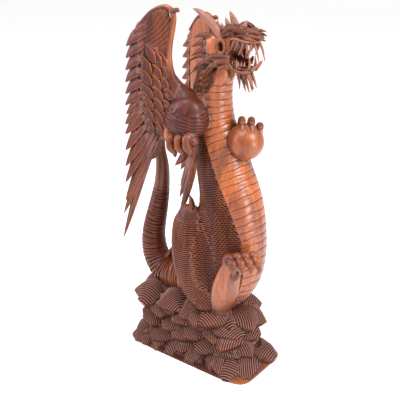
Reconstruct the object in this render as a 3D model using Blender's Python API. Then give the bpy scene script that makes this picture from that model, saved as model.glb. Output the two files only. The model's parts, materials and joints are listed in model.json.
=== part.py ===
"""A wooden winged dragon sitting upright on a plinth of rocks, carved from one log.

The carving is parted for its solids the way a caster would part it: at the rock top,
the tail root, the neck and the shoulders. Metres, +Z up; the origin is the middle of
the plinth's underside, and the dragon looks along +X.
"""
import math
import random

import bmesh
import bpy
from mathutils import Matrix, Vector

# Plinth of rocks
PLINTH_LENGTH = 0.436
PLINTH_WIDTH = 0.224
PLINTH_HEIGHT = 0.182
PLINTH_TAPER = 1.0
PLINTH_WAIST = 0.09
PLINTH_LEAN = -0.022
PLINTH_CORNER = 0.030
SKIRT_HEIGHT = 0.014
SKIRT_SLOPE = 0.020
BLOCK_SHARE = 0.70
ROCK_REACH = 0.058
ROCK_BURIED = 0.80
ROCK_WIDENING = 1.12
ROCK_THICKNESS = 0.40 * PLINTH_HEIGHT
ROCK_TILT = math.radians(36)
ROCK_SIDES = 8
ROCK_SEED = 13

# Dragon, from the rock top to the top of the wings
FIGURE_HEIGHT = 0.838
ORB_RADIUS = 0.049
FEATHER_THICKNESS = 0.0085
WEB_THICKNESS = 0.0080
COVERT_LENGTH = 0.056
COVERT_WIDTH = 0.028
COVERT_LIFT = 0.0046

# Parting joints and the room left in them
PART_GAP = 0.0003
NECK_PARTING = 0.868
CHIN_BACK = 0.094
WING_PARTING = (-0.040, 0.0, 0.790)
WING_PARTING_TILT = math.radians(16)
TAIL_PARTING = -0.085

# The pose below was measured on a figure of this height, seated at this level
POSE_HEIGHT = 0.838
POSE_SEAT = 0.182
SCALE = FIGURE_HEIGHT / POSE_HEIGHT

# Rocks of one long side and of one end: place along it as a share of its length, height as a
# share of the plinth's, half width. The two other faces have the same rocks, turned about.
SIDE_ROCKS = [
    (-0.40, 0.90, 0.043), (-0.28, 0.76, 0.042), (-0.11, 0.95, 0.049), (0.11, 0.95, 0.042),
    (0.31, 0.95, 0.045),
    (0.00, 0.76, 0.049), (0.21, 0.82, 0.042), (-0.16, 0.54, 0.054), (0.11, 0.56, 0.045), (0.33, 0.68, 0.045),
    (-0.31, 0.26, 0.053), (-0.02, 0.28, 0.050), (0.23, 0.38, 0.048), (-0.42, 0.52, 0.045),
    (-0.45, 0.10, 0.042),
    (-0.15, 0.06, 0.056), (0.10, 0.08, 0.053), (0.38, 0.16, 0.047),
]
END_ROCKS = [
    (-0.05, 0.95, 0.046), (0.30, 0.90, 0.044), (0.12, 0.64, 0.048), (-0.22, 0.40, 0.046),
    (0.27, 0.22, 0.048),
    (-0.08, 0.07, 0.056),
]
CORNER_ROCKS = [(0.86, 0.052), (0.42, 0.054), (0.08, 0.040)]

WOOD_RED = (0.30, 0.095, 0.040, 1.0)
WOOD_DARK = (0.13, 0.055, 0.040, 1.0)
ROUGHNESS = 0.35

# Body line from under the jaw to the tail root: forward, height, half depth, half width
TORSO_LINE = [
    (0.058, 0.930, 0.036, 0.033), (0.047, 0.868, 0.040, 0.038), (0.036, 0.814, 0.044, 0.043),
    (0.030, 0.760, 0.050, 0.050), (0.035, 0.705, 0.056, 0.056), (0.054, 0.640, 0.067, 0.066),
    (0.073, 0.570, 0.077, 0.074), (0.097, 0.495, 0.083, 0.079), (0.109, 0.420, 0.084, 0.080),
    (0.114, 0.350, 0.081, 0.077), (0.105, 0.285, 0.074, 0.072), (0.074, 0.235, 0.064, 0.066),
    (0.015, 0.225, 0.058, 0.060), (-0.040, 0.225, 0.052, 0.052), (-0.085, 0.217, 0.047, 0.046),
]
# Tail, from its root to the tip between the wings
TAIL_LINE = [
    (-0.085, 0.217, 0.049, 0.048), (-0.122, 0.215, 0.047, 0.046), (-0.160, 0.228, 0.043, 0.042),
    (-0.184, 0.264, 0.039, 0.038), (-0.190, 0.315, 0.035, 0.035), (-0.181, 0.368, 0.032, 0.032),
    (-0.167, 0.423, 0.028, 0.028), (-0.154, 0.487, 0.023, 0.023), (-0.150, 0.545, 0.019, 0.019),
    (-0.156, 0.600, 0.015, 0.014), (-0.150, 0.650, 0.011, 0.010), (-0.130, 0.685, 0.007, 0.006),
    (-0.105, 0.700, 0.003, 0.003),
]


# Wings: bone root in the shoulder (forward, out, height, radius), then on the wing itself
WING_ROOT = [(-0.006, 0.068, 0.770, 0.028), (-0.026, 0.076, 0.802, 0.021)]
WING_BONE = [
    (-0.041, 0.842, 0.0140), (-0.049, 0.883, 0.0125), (-0.047, 0.922, 0.0120), (-0.039, 0.961, 0.0118),
    (-0.034, 0.992, 0.0115), (-0.041, 1.010, 0.0105), (-0.062, 1.016, 0.0090), (-0.095, 1.000, 0.0070),
    (-0.130, 0.962, 0.0045),
]
WING_SHIFT = {-1: (0.0, 0.0), 1: (-0.010, -0.043)}
WEB_FRONT = [
    (-0.045, 1.008), (-0.038, 0.970), (-0.046, 0.920), (-0.048, 0.880), (-0.042, 0.842), (-0.040, 0.812),
    (-0.038, 0.765), (-0.044, 0.715), (-0.062, 0.665), (-0.086, 0.615),
]
WEB_BACK = [
    (-0.060, 1.018), (-0.105, 0.990), (-0.128, 0.945), (-0.136, 0.900), (-0.138, 0.855), (-0.140, 0.810),
    (-0.140, 0.760), (-0.139, 0.710), (-0.134, 0.655), (-0.120, 0.600),
]
# Feathers: root forward and height, tip forward and height, width
FEATHERS = [
    (-0.085, 0.990, -0.146, 0.942, 0.036), (-0.090, 0.965, -0.159, 0.911, 0.036),
    (-0.095, 0.938, -0.161, 0.880, 0.036), (-0.098, 0.908, -0.163, 0.848, 0.036),
    (-0.100, 0.876, -0.165, 0.816, 0.036), (-0.100, 0.845, -0.166, 0.784, 0.036),
    (-0.100, 0.815, -0.168, 0.753, 0.035), (-0.100, 0.791, -0.166, 0.729, 0.032),
    (-0.095, 0.773, -0.170, 0.700, 0.032), (-0.092, 0.755, -0.171, 0.672, 0.032),
    (-0.088, 0.738, -0.172, 0.626, 0.034), (-0.084, 0.718, -0.174, 0.579, 0.034),
    (-0.082, 0.703, -0.176, 0.531, 0.032), (-0.076, 0.693, -0.178, 0.476, 0.030),
    (-0.080, 0.668, -0.184, 0.437, 0.029), (-0.090, 0.648, -0.188, 0.362, 0.025),
]
# Columns of coverts: first root forward and height, last root forward and height, count
COVERTS = [
    (-0.092, 0.960, -0.092, 0.745, 6), (-0.072, 0.945, -0.072, 0.745, 6), (-0.056, 0.905, -0.060, 0.760, 5),
]
UPPER_ARMS = {-1: (0.001, -0.083, 0.736), 1: (-0.010, 0.073, 0.722)}
UPPER_ARM_RADII = {-1: (0.061, 0.047, 0.056), 1: (0.044, 0.040, 0.054)}
PAW_FINGERS = 3
ORB_CENTRE = (0.130, 0.005, 0.677)
UPPER_JAW = [
    (0.070, 0, 0.945, 0.026, 0.036), (0.100, 0, 0.957, 0.020, 0.036), (0.128, 0, 0.957, 0.014, 0.031),
    (0.150, 0, 0.956, 0.012, 0.023), (0.166, 0, 0.952, 0.010, 0.015), (0.174, 0, 0.948, 0.005, 0.008),
]
LOWER_JAW = [
    (0.070, 0, 0.900, 0.020, 0.030), (0.098, 0, 0.884, 0.013, 0.030), (0.122, 0, 0.873, 0.010, 0.025),
    (0.142, 0, 0.870, 0.009, 0.018), (0.154, 0, 0.876, 0.005, 0.009),
]
TONGUE = [
    (0.080, 0, 0.900, 0.012, 0.018), (0.105, 0, 0.892, 0.009, 0.015), (0.130, 0, 0.887, 0.007, 0.012),
    (0.144, 0, 0.893, 0.005, 0.008), (0.149, 0, 0.904, 0.002, 0.003),
]
# Long horns of the right and left side: root, tip, radius, bow
HORNS = {
    -1: ((0.066, -0.028, 0.942), (-0.006, -0.040, 1.010), 0.0150, (0.006, -0.004, 0.012)),
    1: ((0.080, 0.028, 0.948), (0.046, 0.046, 0.997), 0.0120, (0.004, 0.004, 0.007)),
}
# Brows, teeth, whiskers and frill of one side, in the same order
HEAD_SPIKES = [
    ((0.086, 0.020, 0.950), (0.058, 0.030, 0.992), 0.0090, (0.002, 0, 0.004)),
    ((0.092, 0.030, 0.952), (0.134, 0.036, 0.972), 0.0100, (0, 0.004, 0.010)),
    ((0.150, 0.010, 0.955), (0.178, 0.012, 0.968), 0.0080, (0, 0, 0.003)),
    ((0.150, 0.014, 0.950), (0.178, 0.017, 0.952), 0.0080, (0, 0.003, 0.002)),
    ((0.142, 0.010, 0.960), (0.164, 0.016, 0.980), 0.0080, (0, 0, 0.002)),
    ((0.152, 0.020, 0.950), (0.150, 0.017, 0.914), 0.0055, (0.003, 0, 0)),
    ((0.128, 0.026, 0.950), (0.128, 0.024, 0.928), 0.0048, (0.002, 0, 0)),
    ((0.146, 0.013, 0.872), (0.146, 0.014, 0.903), 0.0050, (0.003, 0, 0)),
    ((0.114, 0.024, 0.876), (0.114, 0.023, 0.896), 0.0048, (0.002, 0, 0)),
    ((0.164, 0.010, 0.946), (0.164, 0.014, 0.893), 0.0048, (0.008, 0.002, 0)),
    ((0.098, 0.036, 0.945), (0.096, 0.040, 0.896), 0.0085, (0.004, 0.004, 0)),
    ((0.086, 0.034, 0.900), (0.100, 0.050, 0.868), 0.0090, (-0.002, 0.004, 0)),
    ((0.066, 0.034, 0.902), (0.060, 0.056, 0.878), 0.0110, (0, 0.004, 0)),
    ((0.120, 0.020, 0.868), (0.134, 0.034, 0.850), 0.0065, (0, 0.003, 0)),
    ((0.058, 0.030, 0.950), (0.010, 0.052, 0.944), 0.0130, (0, 0.006, 0.006)),
    ((0.046, 0.036, 0.930), (0.004, 0.052, 0.914), 0.0130, (0, 0.008, 0.004)),
    ((0.046, 0.036, 0.908), (0.002, 0.050, 0.884), 0.0130, (0, 0.008, 0.004)),
]
# The same for the middle line: crest, beard and chin
MIDDLE_SPIKES = [
    ((0.126, 0, 0.962), (0.129, 0, 0.990), 0.0095, (0.003, 0, 0)),
    ((0.106, 0, 0.968), (0.096, 0, 0.996), 0.0100, (0.003, 0, 0)),
    ((0.080, 0, 0.960), (0.058, 0, 0.992), 0.0110, (0.003, 0, 0)),
    ((0.050, 0, 0.950), (0.016, 0, 0.968), 0.0130, (0, 0, 0.006)),
    ((0.148, 0, 0.872), (0.164, 0, 0.890), 0.0070, (0.004, 0, 0)),
    ((0.130, 0, 0.868), (0.152, 0, 0.823), 0.0070, (0.004, 0, 0)),
    ((0.120, 0.006, 0.868), (0.137, 0.006, 0.808), 0.0075, (0.003, 0, 0)),
    ((0.112, -0.006, 0.870), (0.117, -0.010, 0.818), 0.0075, (0.003, 0, 0)),
    ((0.028, 0, 0.925), (-0.012, 0, 0.905), 0.0130, (0, 0, 0.006)),
    ((0.026, 0, 0.900), (-0.014, 0, 0.875), 0.0130, (0, 0, 0.006)),
]


def pose(x, y, z):
    """A point of the pose at the figure's real size, on the rock top."""
    return Vector((x * SCALE, y * SCALE, PLINTH_HEIGHT + (z - POSE_SEAT) * SCALE))


def material(name, colour):
    made = bpy.data.materials.new(name)
    made.use_nodes = True
    shader = made.node_tree.nodes["Principled BSDF"]
    shader.inputs["Base Color"].default_value = colour
    shader.inputs["Roughness"].default_value = ROUGHNESS
    made.diffuse_color = colour
    return made


def smooth_line(stops, steps):
    """Stops joined by a Catmull-Rom curve, with that many steps between two of them."""
    rows = [Vector(stop) for stop in stops]
    padded = [2 * rows[0] - rows[1], *rows, 2 * rows[-1] - rows[-2]]
    line = []
    for a, b, c, d in zip(padded, padded[1:], padded[2:], padded[3:]):
        for k in range(steps):
            t = k / steps
            line.append(
                0.5 * (2 * b + (c - a) * t + (2 * a - 5 * b + 4 * c - d) * t * t
                       + (3 * b - a - 3 * c + d) * t ** 3)
            )
    return [*line, rows[-1]]


def add_object(name, bm):
    bmesh.ops.recalc_face_normals(bm, faces=bm.faces)
    mesh = bpy.data.meshes.new(name)
    bm.to_mesh(mesh)
    bm.free()
    made = bpy.data.objects.new(name, mesh)
    cutters.objects.link(made)
    made.hide_render = True
    made.display_type = "WIRE"
    return made


def loft(name, stops, sides=8, steps=1, across=(0, 1, 0), diamond=False):
    """A tapering limb. A stop is a pose point and two half thicknesses; the second lies along across."""
    line = smooth_line(stops, steps)
    centres = [pose(*row[:3]) for row in line]
    bm = bmesh.new()
    rings = []
    for i, row in enumerate(line):
        ahead = centres[min(i + 1, len(line) - 1)] - centres[max(i - 1, 0)]
        side = Vector(across) - Vector(across).project(ahead)
        side.normalize()
        depth = ahead.normalized().cross(side)
        turn = Matrix((depth, side, ahead.normalized())).transposed().to_4x4()
        size = Matrix.Diagonal((max(row[3], 0.0006) * SCALE, max(row[4], 0.0006) * SCALE, 1, 1))
        spin = Matrix.Rotation(0 if diamond else math.pi / sides, 4, "Z")
        ring = bmesh.ops.create_circle(
            bm, segments=sides, radius=1, cap_ends=i in (0, len(line) - 1),
            matrix=Matrix.Translation(centres[i]) @ turn @ size @ spin,
        )
        rings.append(ring["verts"])
    for low, high in zip(rings, rings[1:]):
        for k in range(sides):
            bm.faces.new((low[k], low[(k + 1) % sides], high[(k + 1) % sides], high[k]))
    return add_object(name, bm)


def ball(name, centre, radii, turn=None, segments=12, rings=8):
    """An ellipsoid about a pose point, with its poles up and down before it is turned."""
    bm = bmesh.new()
    size = Matrix.Diagonal((*[r * SCALE for r in radii], 1))
    bmesh.ops.create_uvsphere(
        bm, u_segments=segments, v_segments=rings, radius=1,
        matrix=Matrix.Translation(pose(*centre)) @ (turn or Matrix.Identity(4)) @ size,
    )
    return add_object(name, bm)


def box(name, low, high):
    """A box cutter between two corners."""
    bm = bmesh.new()
    middle = (Vector(low) + Vector(high)) / 2
    size = Vector(high) - Vector(low)
    bmesh.ops.create_cube(bm, size=1, matrix=Matrix.Translation(middle) @ Matrix.Diagonal((*size, 1)))
    return add_object(name, bm)


def spike(name, root, tip, radius, bend=(0, 0, 0), sides=4, across=(0, 1, 0), flat=1.0):
    """A horn, claw, tooth or lock: from root to tip, bowed by bend, flat times as thick as it is wide."""
    a, b, bow = Vector(root), Vector(tip), Vector(bend)
    stops = [
        (*a, radius * flat, radius),
        (*(a.lerp(b, 0.36) + bow), radius * 0.86 * flat, radius * 0.86),
        (*(a.lerp(b, 0.72) + bow * 0.75), radius * 0.52 * flat, radius * 0.52),
        (*b, radius * 0.10 * flat, radius * 0.10),
    ]
    return loft(name, stops, sides=sides, steps=1, across=across)


def carve(name, pieces, colour, cuts=(), solver="EXACT", tangled=False):
    """One solid node: the pieces joined, and the cuts taken away. Tangled pieces cross themselves."""
    body = pieces[0]
    others = bpy.data.collections.new(name + "_pieces")
    cutters.children.link(others)
    for piece in pieces[1:]:
        others.objects.link(piece)
        cutters.objects.unlink(piece)
    cutters.objects.unlink(body)
    dragon.objects.link(body)
    body.name = name
    body.hide_render = False
    body.display_type = "TEXTURED"
    if len(pieces) > 1:
        join = body.modifiers.new("join", "BOOLEAN")
        join.operation = "UNION"
        join.operand_type = "COLLECTION"
        join.collection = others
        join.solver = solver
        join.use_self = tangled
    for cutter in cuts:
        cut = body.modifiers.new("cut", "BOOLEAN")
        cut.operation = "DIFFERENCE"
        cut.object = cutter
        cut.solver = solver
    body.data.materials.append(material(name, colour))
    return body


def mirrored(points, side):
    """The same stops on the dragon's right (side -1) or left (side 1)."""
    return [(p[0], abs(p[1]) * side, *p[2:]) for p in points]


def rock(name, place, outward, half_width, seed):
    """A boulder like a thick lozenge: domed above, undercut below a sharp rim, tipped outward."""
    chance = random.Random(seed)
    bm = bmesh.new()
    rings = []
    for radius, height in ((0.50, 0.80), (1.0, 0.05)):
        ring = bmesh.ops.create_circle(bm, segments=ROCK_SIDES, radius=radius)["verts"]
        for k, vert in enumerate(ring):
            vert.co.z = height
            vert.co *= (1.0 if k % 2 == 0 else 0.84) + chance.uniform(-0.08, 0.08)
        rings.append(ring)
    top, rim = rings
    foot = bm.verts.new((-0.5, 0, -0.75))
    bm.faces.new(top)
    for k in range(ROCK_SIDES):
        after = (k + 1) % ROCK_SIDES
        bm.faces.new((top[k], top[after], rim[after], rim[k]))
        bm.faces.new((rim[k], rim[after], foot))
    facing = Matrix.Rotation(math.atan2(outward.y, outward.x) + chance.uniform(-0.3, 0.3), 4, "Z")
    tipped = Matrix.Rotation(ROCK_TILT + chance.uniform(-0.12, 0.12), 4, "Y")
    size = Matrix.Diagonal((ROCK_REACH, half_width * ROCK_WIDENING, ROCK_THICKNESS / 2, 1))
    bmesh.ops.transform(bm, matrix=Matrix.Translation(place) @ facing @ tipped @ size, verts=bm.verts)
    return add_object(name, bm)


def plinth_half(height):
    """Half length, half width and forward shift of the rocks at a share of the plinth's height."""
    shrink = 1 - (1 - PLINTH_TAPER) * height - PLINTH_WAIST * math.sin(math.pi * height)
    return PLINTH_LENGTH / 2 * shrink, PLINTH_WIDTH / 2 * shrink, PLINTH_LEAN * height


def rock_places():
    """Each rock's place, outward direction and half width, round the four faces and corners."""
    buried = ROCK_REACH * ROCK_BURIED
    for side in (-1, 1):
        for along, height, half_width in SIDE_ROCKS:
            length, width, shift = plinth_half(height)
            x = shift - side * along * 2 * (length - buried)
            place = Vector((x, side * (width - buried), PLINTH_HEIGHT * height))
            yield place, Vector((0, side, 0)), half_width
        for along, height, half_width in END_ROCKS:
            length, width, shift = plinth_half(height)
            x = shift - side * (length - buried)
            y = side * -along * 2 * (width - buried)
            yield Vector((x, y, PLINTH_HEIGHT * height)), Vector((-side, 0, 0)), half_width
        for end in (-1, 1):
            for height, half_width in CORNER_ROCKS:
                length, width, shift = plinth_half(height)
                inner = buried + (1 - math.sqrt(0.5)) * ROCK_REACH
                x, y = shift + end * (length - inner), side * (width - inner)
                yield Vector((x, y, PLINTH_HEIGHT * height)), Vector((end, side, 0)), half_width


def plinth():
    """A block on a low skirt with boulders round it, flat below and cut level on top."""
    bm = bmesh.new()
    rings = []
    slope_top = SKIRT_HEIGHT + SKIRT_SLOPE
    levels = ((0, 1.0), (SKIRT_HEIGHT, 1.0), (slope_top, BLOCK_SHARE), (PLINTH_HEIGHT, BLOCK_SHARE))
    for level, share in levels:
        x, y, corner = PLINTH_LENGTH / 2 * share, PLINTH_WIDTH / 2 * share, PLINTH_CORNER * share
        rings.append([
            bm.verts.new((a, b, level))
            for a, b in ((x, corner - y), (x, y - corner), (x - corner, y), (corner - x, y),
                         (-x, y - corner), (-x, corner - y), (corner - x, -y), (x - corner, -y))
        ])
    for low, high in zip(rings, rings[1:]):
        for k in range(8):
            bm.faces.new((low[k], low[(k + 1) % 8], high[(k + 1) % 8], high[k]))
    bm.faces.new(rings[0])
    bm.faces.new(rings[-1])
    block = add_object("plinth_block", bm)
    rocks = [rock(f"rock_{n}", *spot, seed=ROCK_SEED + n) for n, spot in enumerate(rock_places())]
    room = PLINTH_LENGTH
    below = box("below_floor", (-room, -room, -room), (room, room, 0))
    above = box("above_rocks", (-room, -room, PLINTH_HEIGHT), (room, room, PLINTH_HEIGHT + room))
    carve("rock_plinth", [block, *rocks], WOOD_DARK, [below, above], solver="MANIFOLD")


def haunch(side):
    """Thigh with the knee up, running down to the heel."""
    line = [
        (-0.001, 0.069, 0.484, 0.012, 0.012), (-0.003, 0.070, 0.462, 0.030, 0.026),
        (-0.004, 0.071, 0.425, 0.043, 0.035), (-0.001, 0.071, 0.365, 0.049, 0.041),
        (0.010, 0.069, 0.305, 0.051, 0.042), (0.030, 0.064, 0.255, 0.048, 0.042),
        (0.065, 0.058, 0.222, 0.040, 0.038),
    ]
    thigh = loft(f"haunch_{side}", mirrored(line, side), sides=12)
    hip = ball(f"hip_{side}", (0.040, 0.045 * side, 0.335), (0.062, 0.050, 0.130), segments=12, rings=8)
    return [thigh, hip]


def toes(prefix, ball_point, spread, outward, count, radius, length):
    """Clawed toes side by side, curling over outward and down from the ball of a foot."""
    made = []
    origin, spread, outward = Vector(ball_point), Vector(spread), Vector(outward)
    up = Vector((0, 0, 1))
    for k in range(count):
        share = k / (count - 1) - 0.5
        root = origin + spread * share
        stops = [
            (*root, radius, radius),
            (*(root + outward * length * 0.38 + up * length * 0.34), radius, radius * 1.02),
            (*(root + outward * length * 0.80 + up * length * 0.12), radius * 0.86, radius * 0.86),
            (*(root + outward * length * 0.95 - up * length * 0.30), radius * 0.50, radius * 0.50),
            (*(root + outward * length * 0.80 - up * length * 0.66), radius * 0.10, radius * 0.10),
        ]
        made.append(loft(f"{prefix}_{k}", stops, sides=6, across=spread.normalized()))
    return made


def raised_foot():
    """Right hind foot: heel on the rocks, sole outward against the belly, toes curled over."""
    line = [
        (0.098, -0.050, 0.180, 0.024, 0.024), (0.108, -0.061, 0.215, 0.024, 0.031),
        (0.122, -0.073, 0.255, 0.022, 0.036), (0.137, -0.083, 0.300, 0.020, 0.035),
        (0.152, -0.088, 0.340, 0.019, 0.031), (0.168, -0.088, 0.374, 0.017, 0.028),
        (0.177, -0.085, 0.392, 0.010, 0.024),
    ]
    along_belly = (0.66, 0.75, 0)
    outward = (0.90, -0.44, 0)
    foot = loft("raised_foot", line, sides=8, across=along_belly)
    spread = Vector(along_belly) * 0.068
    curled = toes("raised_toe", (0.176, -0.082, 0.380), spread, outward, 4, 0.0135, 0.044)
    thumb = ball("thumb", (0.173, -0.094, 0.338), (0.014, 0.014, 0.014), segments=8, rings=6)
    return [foot, thumb, *curled]


def planted_foot():
    """Left hind foot, flat on the rocks."""
    line = [
        (0.020, 0.074, 0.196, 0.022, 0.024), (0.045, 0.080, 0.194, 0.018, 0.024),
        (0.062, 0.082, 0.190, 0.013, 0.022),
    ]
    foot = loft("planted_foot", line, sides=8)
    made = [foot]
    for k in range(3):
        y = 0.068 + 0.014 * k
        tip = (0.090, y + 0.003, 0.186)
        made.append(spike(f"planted_toe_{k}", (0.055, y, 0.192), tip, 0.010, (0, 0, 0.010)))
    return made


def back_spikes():
    """The ridge of small spikes down the back."""
    made = []
    line = smooth_line(TORSO_LINE[2:11], 2)
    for k, (x, z, depth, _) in enumerate(line[1:-3]):
        before, after = line[k], line[k + 2]
        ahead = Vector((after[0] - before[0], 0, after[1] - before[1])).normalized()
        behind = Vector((ahead.z, 0, -ahead.x))
        root = Vector((x, 0, z)) + behind * (depth - 0.006)
        tip = root + behind * 0.028 + Vector((0, 0, -0.006))
        made.append(spike(f"back_spike_{k}", root, tip, 0.0105, across=(0, 1, 0)))
    return made


def neck_mane():
    """Locks of the mane lying down the sides and back of the neck."""
    made = []
    for row in range(3):
        height = 0.862 - 0.020 * row
        count = 5 if row % 2 else 6
        for k in range(count):
            turn = math.radians(-98 + 196 * (k + 0.5) / count)
            out = Vector((-math.cos(turn), math.sin(turn), 0))
            axis_x = 0.046 - 0.010 * row / 2
            root = Vector((axis_x, 0, height)) + out * 0.030
            tip = Vector((axis_x - 0.012, 0, height - 0.050)) + out * 0.056
            made.append(
                spike(f"neck_lock_{row}_{k}", root, tip, 0.0125, out * 0.010,
                      across=out.cross((0, 0, 1)), flat=0.6)
            )
    return made


def torso():
    """Neck, trunk, rump and hind legs, with the mane, the back spikes and the knee tufts."""
    body = loft("torso", [(x, 0, z, d, w) for x, z, d, w in TORSO_LINE], sides=16, steps=2)
    knees = [
        spike(f"knee_tuft_{side}", (0.004, 0.070 * side, 0.474), (0.004, 0.072 * side, 0.522), 0.013,
              (0.006, 0, 0))
        for side in (-1, 1)
    ]
    pieces = [body, *haunch(-1), *haunch(1), *raised_foot(), *planted_foot()]
    pieces += [*knees, *back_spikes(), *neck_mane()]
    pieces += [*shoulder(-1), *shoulder(1), *right_paw(), *left_arm_and_orb()]
    reach = FIGURE_HEIGHT
    neck_level = pose(0, 0, NECK_PARTING).z
    tail_end = pose(TAIL_PARTING, 0, 0).x
    seat = PLINTH_HEIGHT + PART_GAP
    cuts = [
        box("below_seat", (-reach, -reach, seat - reach), (reach, reach, seat)),
        box("above_neck", (-reach, -reach, neck_level), (reach, reach, neck_level + reach)),
        wing_parting_box("behind_right_shoulder", -1, False),
        wing_parting_box("behind_left_shoulder", 1, False),
        box("behind_rump", (-reach, -reach, -reach), (tail_end, reach, pose(0, 0, 0.4).z)),
    ]
    carve("torso", pieces, WOOD_RED, cuts, solver="MANIFOLD")


def tail():
    """Ringed tail that lies on the rocks, turns up and ends in a point between the wings."""
    line = [(TAIL_PARTING + 0.02, 0, 0.219, 0.048, 0.047), *[(x, 0, z, d, w) for x, z, d, w in TAIL_LINE]]
    tube = loft("tail", line, sides=12, steps=2)
    fins = [
        spike("tail_fin", (-0.140, 0, 0.258), (-0.118, 0, 0.300), 0.012, (0, 0, -0.004)),
    ]
    reach = FIGURE_HEIGHT
    seat = PLINTH_HEIGHT + PART_GAP
    root = pose(TAIL_PARTING, 0, 0).x - PART_GAP
    cuts = [
        box("below_tail", (-reach, -reach, seat - reach), (reach, reach, seat)),
        box("before_tail", (root, -reach, -reach), (root + reach, reach, reach)),
    ]
    carve("tail", [tube, *fins], WOOD_RED, cuts)


def blade(name, root, tip, width, bow=0.0):
    """A feather: thin, widest near its root and pointed at its tip, in the plane of the wing."""
    root, tip = Vector(root), Vector(tip)
    across = (tip - root).cross((0, 1, 0)).normalized()
    thick = FEATHER_THICKNESS / 2
    stops = [
        (*root, thick * 0.7, width * 0.30),
        (*(root.lerp(tip, 0.40) + across * bow), thick, width * 0.50),
        (*(root.lerp(tip, 0.72) + across * bow * 0.8), thick, width * 0.44),
        (*tip, thick * 0.5, 0.0008),
    ]
    return loft(name, stops, sides=4, across=across, diamond=True)


def plate(name, front, back, thickness):
    """A thin panel between two edges given as pose points."""
    bm = bmesh.new()
    half = Vector((0, thickness / 2, 0))
    rows = []
    for a, b in zip(front, back):
        a, b = pose(*a), pose(*b)
        rows.append([bm.verts.new(co) for co in (a - half, b - half, b + half, a + half)])
    for low, high in zip(rows, rows[1:]):
        for k in range(4):
            bm.faces.new((low[k], low[(k + 1) % 4], high[(k + 1) % 4], high[k]))
    bm.faces.new(rows[0])
    bm.faces.new(rows[-1])
    return add_object(name, bm)


def wing_point(side, x, z, lift=0.0):
    """A point of a wing, which splays outward towards its back edge; lift raises it off the outer face."""
    shift_x, shift_z = WING_SHIFT[side]
    return (x + shift_x, side * (0.088 + max(0.0, -0.04 - x) * 0.30 + lift), z + shift_z)


def wing_parting_box(name, side, ahead):
    """A cutter that ends at the tilted shoulder joint, ahead of it (True) or behind it (False)."""
    inner = 0.030 * side
    low, high = sorted((inner, FIGURE_HEIGHT * side))
    if ahead:
        cutter = box(name, (-PART_GAP, low, -FIGURE_HEIGHT), (FIGURE_HEIGHT, high, FIGURE_HEIGHT))
    else:
        cutter = box(name, (-0.10, low, -0.09), (0, high, 0.09))
    turn = Matrix.Rotation(WING_PARTING_TILT, 4, "Y")
    cutter.data.transform(Matrix.Translation(pose(*WING_PARTING)) @ turn)
    return cutter


def wing(side):
    """Raised wing: leading bone with a thumb claw, a web, long pointed feathers and leaf-like coverts."""
    name = "right_wing" if side < 0 else "left_wing"
    sprout = [(x, side * y, z, r, r) for x, y, z, r in WING_ROOT]
    arm = [(*wing_point(side, x, z), r, r) for x, z, r in WING_BONE]
    pieces = [loft(f"{name}_bone", [*sprout, *arm], sides=8)]
    pieces.append(
        spike(f"{name}_claw", wing_point(side, -0.040, 1.006), wing_point(side, -0.012, 1.014), 0.0075,
              (0, 0, 0.004))
    )
    front = [wing_point(side, x, z) for x, z in WEB_FRONT]
    back = [wing_point(side, x, z) for x, z in WEB_BACK]
    pieces.append(plate(f"{name}_web", front, back, WEB_THICKNESS))
    for k, (x, z, tip_x, tip_z, width) in enumerate(FEATHERS):
        root = wing_point(side, x, z, 0.002)
        tip = wing_point(side, tip_x, tip_z)
        pieces.append(blade(f"{name}_feather_{k}", root, tip, width, width * 0.20 * side))
    for column, (x, z, low_x, low_z, count) in enumerate(COVERTS):
        for k in range(count):
            share = k / (count - 1)
            root_x, root_z = x + (low_x - x) * share, z + (low_z - z) * share
            root = wing_point(side, root_x, root_z, 0.002)
            tip = wing_point(side, root_x - COVERT_LENGTH * 0.42, root_z - COVERT_LENGTH * 0.90, COVERT_LIFT)
            pieces.append(blade(f"{name}_covert_{column}_{k}", root, tip, COVERT_WIDTH))
    carve(name, pieces, WOOD_RED, [wing_parting_box(f"{name}_joint", side, True)], solver="MANIFOLD")


def shoulder(side):
    """Shoulder and upper arm, with the root that the wing grows from."""
    return [
        ball(f"upper_arm_{side}", UPPER_ARMS[side], UPPER_ARM_RADII[side], segments=12, rings=8),
        loft(
            f"shoulder_{side}",
            [(0.022, 0.033 * side, 0.762, 0.036, 0.033), (0.003, 0.056 * side, 0.779, 0.038, 0.038),
             (-0.012, 0.070 * side, 0.794, 0.028, 0.026), (-0.036, 0.077 * side, 0.818, 0.018, 0.017)],
            sides=8,
        ),
    ]


def right_paw():
    """Right forepaw in a loose fist below the upper arm: three fingers, claws turned under, a spur."""
    made = [
        ball("paw", (0.006, -0.097, 0.686), (0.046, 0.028, 0.024), segments=10, rings=6),
        loft("paw_wrist", [(-0.030, -0.078, 0.716, 0.020, 0.020), (-0.044, -0.098, 0.694, 0.014, 0.014),
                           (-0.024, -0.112, 0.680, 0.012, 0.012)], sides=6, across=(1, 0, 0)),
    ]
    for k in range(PAW_FINGERS):
        x, z = -0.016 + 0.0265 * k, 0.692 + 0.0055 * k
        stops = [
            (x, -0.100, z + 0.004, 0.012, 0.012), (x - 0.002, -0.122, z - 0.003, 0.0130, 0.0125),
            (x + 0.003, -0.129, z - 0.021, 0.0120, 0.0115), (x + 0.007, -0.124, z - 0.036, 0.0085, 0.0085),
            (x - 0.002, -0.104, z - 0.060, 0.0015, 0.0015),
        ]
        made.append(loft(f"paw_finger_{k}", stops, sides=6, across=(1, 0, 0)))
    made.append(spike("paw_spur", (0.014, -0.092, 0.655), (-0.018, -0.106, 0.610), 0.015, (0, 0, -0.004)))
    made.append(spike("paw_heel", (0.030, -0.088, 0.670), (0.034, -0.090, 0.618), 0.020, sides=6))
    return made


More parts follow.
